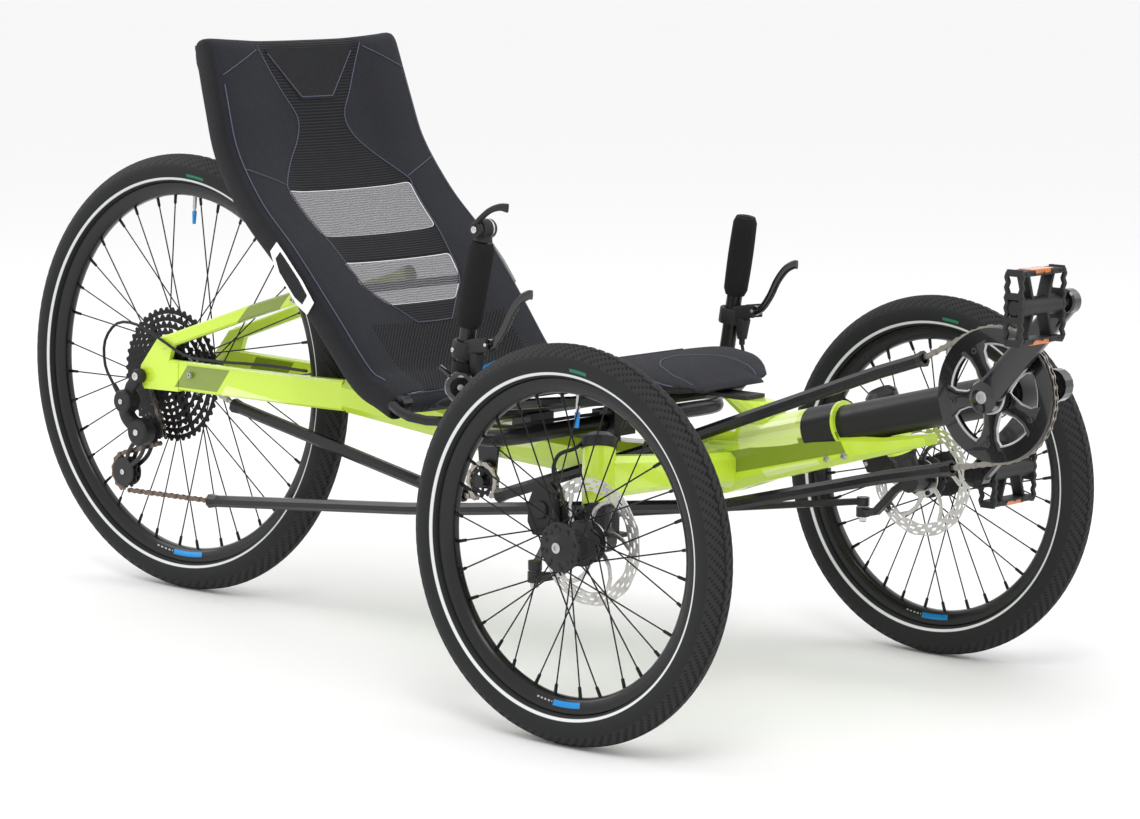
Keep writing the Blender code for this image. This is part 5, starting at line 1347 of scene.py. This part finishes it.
def piping(name, body, runs, place):
    """Thin cord sewn along each run of (across, along) points."""
    shape = Shape()
    for run in runs:
        fine = []
        for (u1, v1), (u2, v2) in zip(run, run[1:]):
            fine += [(u1 + (u2 - u1) * step / 10, v1 + (v2 - v1) * step / 10) for step in range(10)]
        fine.append(run[-1])
        shape.swept(smooth([place(u, v) for u, v in fine[::3] + fine[-1:]], 3), circle(0.00085, 8))
    shape.piece(name, body, [PIPING], slot="fabric")


def mirrored(run):
    return [(-u, v) for u, v in run]


def backrest():
    """The sling's padded cover, its two net windows and the trim sewn to it."""
    inner = INNER_COLUMNS

    def keep_cover(column, v):
        return not (abs(column) < inner and any(low < v < high for low, high in WINDOWS))

    def mark(column, v):
        if abs(column) > inner + OUTER_COLUMNS:
            return 2
        if v < BAND_TOP:
            return 3 if abs(column) < inner + 5 else 0
        return 1 if abs(column) < inner else 0

    cloths = [CLOTH, RIBBED, SMOOTH_CLOTH, LATTICE]
    cover = cover_sheet("backrest_cover", keep_cover, 0.0, mark, cloths, 0.0032, True)
    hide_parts("backrest_pad")
    for number, (low, high) in enumerate(WINDOWS):

        def keep_window(column, v, low=low, high=high):
            return abs(column) < inner and low < v < high

        def unmarked(column, v):
            return 0

        net = cover_sheet(f"backrest_net_{number + 1}", keep_window, -0.0004, unmarked, [NET], 0.0008, False)
    runs = [[(u, v) for v, u in SEAM if 0.18 < v < 0.995]]
    runs += [[(0.57, 0.985), (PIPING_EDGE, 0.925)], [(0.62, 0.625), (PIPING_EDGE, 0.675)]]
    runs += [[(PIPING_EDGE, v / 20) for v in range(0, 19)], [(0.18, 0.183), (0.0, 0.181)]]
    runs += [mirrored(run) for run in runs]
    piping("backrest_piping", "backrest", runs, lambda u, v: back_place(u, v, 0.0022))
    head_patch()
    side_panels()
    lower_roll()


def head_patch():
    """A plain trapezoid of smooth cloth at head height, with a stitched edge."""
    rows = 10
    columns = 12
    width = columns + 1
    points = []
    for layer in (0.0014, 0.0032):
        for row in range(rows + 1):
            share = row / rows
            for column in range(width):
                u = (0.17 + 0.3 * share) * (2 * column / columns - 1)
                points.append(back_place(u, min(0.855 + 0.13 * share, top_of(u) - 0.003), layer))
    count = (rows + 1) * width
    faces = []
    for row in range(rows):
        for corner in range(row * width, row * width + columns):
            cell = [corner, corner + 1, corner + width + 1, corner + width]
            faces += [cell, [place + count for place in cell]]
    edge = [*range(columns), *range(columns, count, width)]
    edge += [*range(count - 2, rows * width - 1, -1), *range((rows - 1) * width, 0, -width)]
    for first, second in zip(edge, edge[1:] + edge[:1]):
        faces.append([first, second, second + count, first + count])
    Shape().add(points, faces).piece("head_patch", "backrest", [SMOOTH_CLOTH], slot="fabric", smooth_to=50)
    runs = [[(-0.16, 0.862), (0.16, 0.862)], [(0.16, 0.862), (0.45, 0.975)], [(-0.16, 0.862), (-0.45, 0.975)]]
    piping("head_patch_stitch", "backrest", runs, lambda u, v: back_place(u, v, 0.003))


def side_panels():
    """A pale angular panel with a dark middle on each side, below the shoulder."""
    for name, side in SIDES.items():
        places = []
        for v, back in PANEL_OUTLINE:
            edge = back_place(side, v)
            front = X.cross((back_place(side, v + 0.01) - edge).normalized())
            places.append(edge - (front if front.y < 0 else -front) * back)
        middle = sum(places, Vector()) / len(places)
        face = places[0].x + side * 0.0068
        shape = Shape().slab(places, face - side * 0.001, face)
        shape.mark = 1
        shape.slab([middle.lerp(place, 0.72) for place in places], face, face + side * 0.0007)
        shape.piece(f"side_panel_{name}", "backrest", [WHITE, SMOOTH_CLOTH], slot="fabric")


def lower_roll():
    """The cover's lower end, rolled round the hinge, and the flap on the seat in front of it."""
    shares = [step / 12 - 1 for step in range(25)]
    path = [HINGE + Vector((0.187 * share, 0.002, -0.0005)) for share in shares]
    roll = Shape().swept(path, [circle(0.0165 - 0.004 * share**8, 24, 0.86) for share in shares], Z)
    roll.piece("backrest_roll", "backrest", [CLOTH], slot="fabric")
    sewn = Vector((0, -0.008, 0.014))
    run = [(-0.93, 0), (0.93, 0)]
    piping("backrest_roll_piping", "backrest", [run], lambda u, v: HINGE + X * 0.19 * u + sewn)
    line = [at(0, y, z) for y, z in ((0.405, 0.366), (0.425, 0.362), (0.445, 0.3545), (0.4635, 0.3475))]
    flap = Shape().swept(smooth(line, 5), pillow(0.166, 0.0026, 0.3, 24), Z)
    flap.piece("seat_flap", "frame", [RIBBED], slot="fabric")


PAN_STATIONS = [
    (0.05, 0.406, 0.3985), (0.06, 0.4105, 0.3985), (0.088, 0.42, 0.399), (0.125, 0.43, 0.4005),
    (0.17, 0.4345, 0.401), (0.215, 0.43, 0.396), (0.28, 0.413, 0.3865), (0.35, 0.392, 0.3735),
    (0.428, 0.366, 0.35),
]


PAN_FRONT = 0.052
PAN_LENGTH = 0.372
PAN_SEAMS = [
    [(0.0, 0.28), (0.22, 0.255), (0.42, 0.2), (0.6, 0.11), (0.66, 0.05)],
    [(0.5, 0.45), (0.52, 0.6), (0.5, 0.8), (0.46, 0.97)],
    [(0.0, 0.43), (0.28, 0.425), (0.5, 0.45)],
]


def pan_half(y):
    """Half the pan's width, y metres behind the front axle."""
    share = min(max((y - 0.046) / (0.205 - 0.046), 0.0), 1.0)
    return 0.06 + 0.13 * sin(share * pi / 2) ** 0.8


def pan_shape():
    """The pan's starting form, a little smaller than its final one."""
    path = smooth([at(0, y, (top + low) / 2) for y, top, low in PAN_STATIONS], 4)
    tops = smooth([Vector((0, y, top)) for y, top, low in PAN_STATIONS], 4)
    lows = smooth([Vector((0, y, low)) for y, top, low in PAN_STATIONS], 4)
    sections = []
    for top, low in zip(tops, lows):
        tall = (top.z - low.z) / 2 - 0.003
        sections.append(pillow(pan_half(top.y) - 0.004, max(tall, 0.004), 0.5, 44))
    return Shape().swept(path, sections, Z)


def inflate(item, limit):
    """Swells a closed cloth form with a short cloth simulation, moving no point further than limit."""
    start = [vertex.co.copy() for vertex in item.data.vertices]
    swell = add_modifier(item, "CLOTH")
    settings = swell.settings
    settings.quality = 5
    settings.mass = 0.3
    settings.use_pressure = True
    settings.uniform_pressure_force = 4.0
    settings.effector_weights.gravity = 0.0
    scene = bpy.context.scene
    for number in range(1, 21):
        scene.frame_set(number)
    graph = bpy.context.evaluated_depsgraph_get()
    moved = [vertex.co.copy() for vertex in item.evaluated_get(graph).data.vertices]
    item.modifiers.remove(swell)
    scene.frame_set(1)
    for vertex, old, new in zip(item.data.vertices, start, moved):
        step = new - old
        vertex.co = old + step * min(1.0, limit / max(step.length, 1e-9))


def seat_pan():
    """The pan's cushion, puffed up, with a pressed seam and piping."""
    pan = pan_shape().piece("seat_pan_cushion", "frame", [PAN_CLOTH], ["seat_pan"], "fabric")
    add_modifier(pan, "REMESH", mode="VOXEL", voxel_size=0.006)
    pan.data = bpy.data.meshes.new_from_object(pan.evaluated_get(bpy.context.evaluated_depsgraph_get()))
    pan.modifiers.clear()
    inflate(pan, 0.005)
    pan.data.materials.clear()
    for material in (PAN_CLOTH, SMOOTH_CLOTH):
        pan.data.materials.append(material)
    for face in pan.data.polygons:
        face.material_index = 1 if face.normal.z < 0.25 else 0
    pan.data.shade_smooth()
    skin = BVHTree.FromObject(pan, bpy.context.evaluated_depsgraph_get())
    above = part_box("seat_pan")[1][2] + 0.05

    def on_pan(u, v):
        y = PAN_FRONT + v * PAN_LENGTH
        origin = at(u * pan_half(y), y, above)
        return (skin.ray_cast(origin, -Z)[0] or origin - Z * 0.06) + Z * 0.0004

    groove(pan)
    add_modifier(pan, "SUBSURF", levels=1, render_levels=1)
    runs = [[(0.88, v / 14) for v in range(1, 14)], *PAN_SEAMS]
    runs += [mirrored(run) for run in runs]
    piping("seat_pan_piping", "frame", runs, on_pan)


def groove(pan):
    """Presses a shallow channel into the pan along its cross seam."""
    for vertex in pan.data.vertices:
        y = vertex.co.y - FRONT_AXLE_Y
        away = abs((y - PAN_FRONT) / PAN_LENGTH - 0.43)
        if vertex.normal.z >= 0.3 and away < 0.05 and abs(vertex.co.x) < 0.5 * pan_half(y):
            vertex.co.z -= 0.0022 * (1 - away / 0.05) ** 2


# Frame trim


def boom():
    """The sliding boom with its bottom bracket shell, and the black collar it slides in."""
    end = (BRACKET - SLEEVE_FRONT).dot(BOOM_AXIS) - 0.006
    shape = Shape()
    tube = [(0, -0.112), (0.0246, -0.112), (0.025, -0.11), (0.025, end), (0, end)]
    shape.turned(tube, SLEEVE_FRONT, BOOM_AXIS, 72)
    shell = mirrored_profile([(0.015, 0.034), (0.0255, 0.034), (0.0262, 0.0325)])
    shape.turned(shell, BRACKET, X, 56)
    cup = [(0.0128, 0.0338), (0.0215, 0.0338), (0.0215, 0.0362), (0.0195, 0.0372), (0.0128, 0.0372)]
    for side in (-1, 1):
        shape.turned(cup, BRACKET, X * side, 48)
    shape.piece("boom_fine", "boom_slider", [SLEEVE_BLACK], ["boom"], "black_metal")
    profile = [(0.0298, 0.005), (0.0305, 0.0052), (0.0305, 0.053), (0.0298, 0.0532)]
    collar = Shape().turned(profile, SLEEVE_FRONT, -BOOM_AXIS, 72)
    collar.piece("beam_collar", "frame", [SLEEVE_BLACK], slot="black_metal")


def frame_trim():
    """The sleeve's lime ring, and the frame's bolts, welds and blank label."""
    profile = [(0.0302, 0.0006), (0.0312, 0.0012), (0.0312, 0.0042), (0.0302, 0.0048)]
    ring = Shape().turned(profile, SLEEVE_FRONT, -BOOM_AXIS, 64)
    ring.piece("boom_ring", "frame", [LIME_PAINT], slot="lime_paint")
    bolts = Shape()
    for y, z in ((-0.118, 0.331), (-0.145, 0.338)):
        for side in (-1, 1):
            bolts.bolt(at(side * 0.0225, y, z), X * side * 0.006, 0.0046)
    for place in ((-0.0765, 1.004, 0.3365), (-0.0715, 0.798, 0.464)):
        bolts.bolt(at(*place), X * -0.0045, 0.0045)
    bolts.piece("frame_bolts", "frame", [ALLOY], slot="steel")
    welds = Shape()
    bead = [(0, -0.0016), (0.0022, -0.0006), (0.0024, 0.0008), (0, 0.002)]
    for side in (-1, 1):
        for index in range(26):
            turn = 2 * pi * index / 26
            place = at(side * 0.0315, 0.046 + 0.019 * cos(turn), 0.2995 + 0.0235 * sin(turn))
            welds.turned(bead, place, X * side, 8)
    welds.piece("frame_welds", "frame", [LIME_PAINT], slot="lime_paint", smooth_to=80)
    lean = Matrix.Rotation(radians(4), 3, "Z")
    label = Shape().block(at(-0.15, 0.0235, 0.305), (0.05, 0.0012, 0.012), lean)
    label.piece("arm_label", "frame", [SMOOTH_CLOTH], slot="black_plastic")


# Stage

CAMERA_TURN = radians(-49.185)
CAMERA_RISE = radians(8.053)
CAMERA_ROLL = radians(0.6796)
CAMERA_DISTANCE = 5.1372
CAMERA_TARGET = at(0, 0.3381, 0.3459)
LIT_PLACE = Vector((0, 0, 0.4))


def camera():
    level = cos(CAMERA_RISE)
    back = Vector((sin(CAMERA_TURN) * level, -cos(CAMERA_TURN) * level, sin(CAMERA_RISE)))
    side = Z.cross(back).normalized()
    rise = back.cross(side)
    right = side * cos(CAMERA_ROLL) + rise * sin(CAMERA_ROLL)
    up = rise * cos(CAMERA_ROLL) - side * sin(CAMERA_ROLL)
    lens = bpy.data.cameras.new("camera")
    lens.lens = 119.29
    lens.sensor_width = 36.0
    item = add_object("camera", lens)
    turn = Matrix((right, up, back)).transposed()
    item.matrix_world = Matrix.Translation(CAMERA_TARGET + back * CAMERA_DISTANCE) @ turn.to_4x4()
    bpy.context.scene.camera = item


def light(name, place, size, power):
    lamp = bpy.data.lights.new(name, "AREA")
    lamp.shape = "DISK"
    lamp.size = size
    lamp.energy = power
    item = add_object(name, lamp)
    item.location = place
    item.rotation_euler = (LIT_PLACE - Vector(place)).to_track_quat("-Z", "Y").to_euler()


def stage():
    """A wide pale floor, a white world and three soft lamps."""
    paint = Paint("floor", (0.93, 0.93, 0.93), 0.75).patches(2, 0.1, (0.9, 0.9, 0.9))
    mesh = bpy.data.meshes.new("floor")
    far = 60.0
    mesh.from_pydata([(-far, -far, 0), (far, -far, 0), (far, far, 0), (-far, far, 0)], [], [[0, 1, 2, 3]])
    mesh.materials.append(paint.material)
    add_object("floor", mesh)
    world = bpy.data.worlds.new("world")
    world.use_nodes = True
    background = world.node_tree.nodes["Background"]
    background.inputs[0].default_value = (1.0, 1.0, 1.0, 1.0)
    background.inputs[1].default_value = 1.0
    bpy.context.scene.world = world
    light("key", (-2.6, -2.2, 4.2), 2.2, 70)
    light("fill", (3.2, -2.0, 2.6), 3.0, 18)
    light("rim", (-1.0, 3.6, 2.8), 2.4, 40)
    bpy.context.scene.view_settings.view_transform = "Standard"


finish_kept()
camera()
stage()
wheels()
chains()
sprockets()
wheel_of_teeth("idler_teeth", "idler_pulley", "idler_wheel", IDLER, IDLER_R, 11)
wheel_of_teeth("jockey_upper_teeth", "jockey_upper", "upper_jockey_wheel", JOCKEY, JOCKEY_R, 11)
wheel_of_teeth("jockey_lower_teeth", "jockey_lower", "lower_jockey_wheel", LOWER_JOCKEY, LOWER_JOCKEY_R, 12)
derailleur()
cranks()
pedals()
steering()
brakes()
backrest()
seat_pan()
boom()
frame_trim()
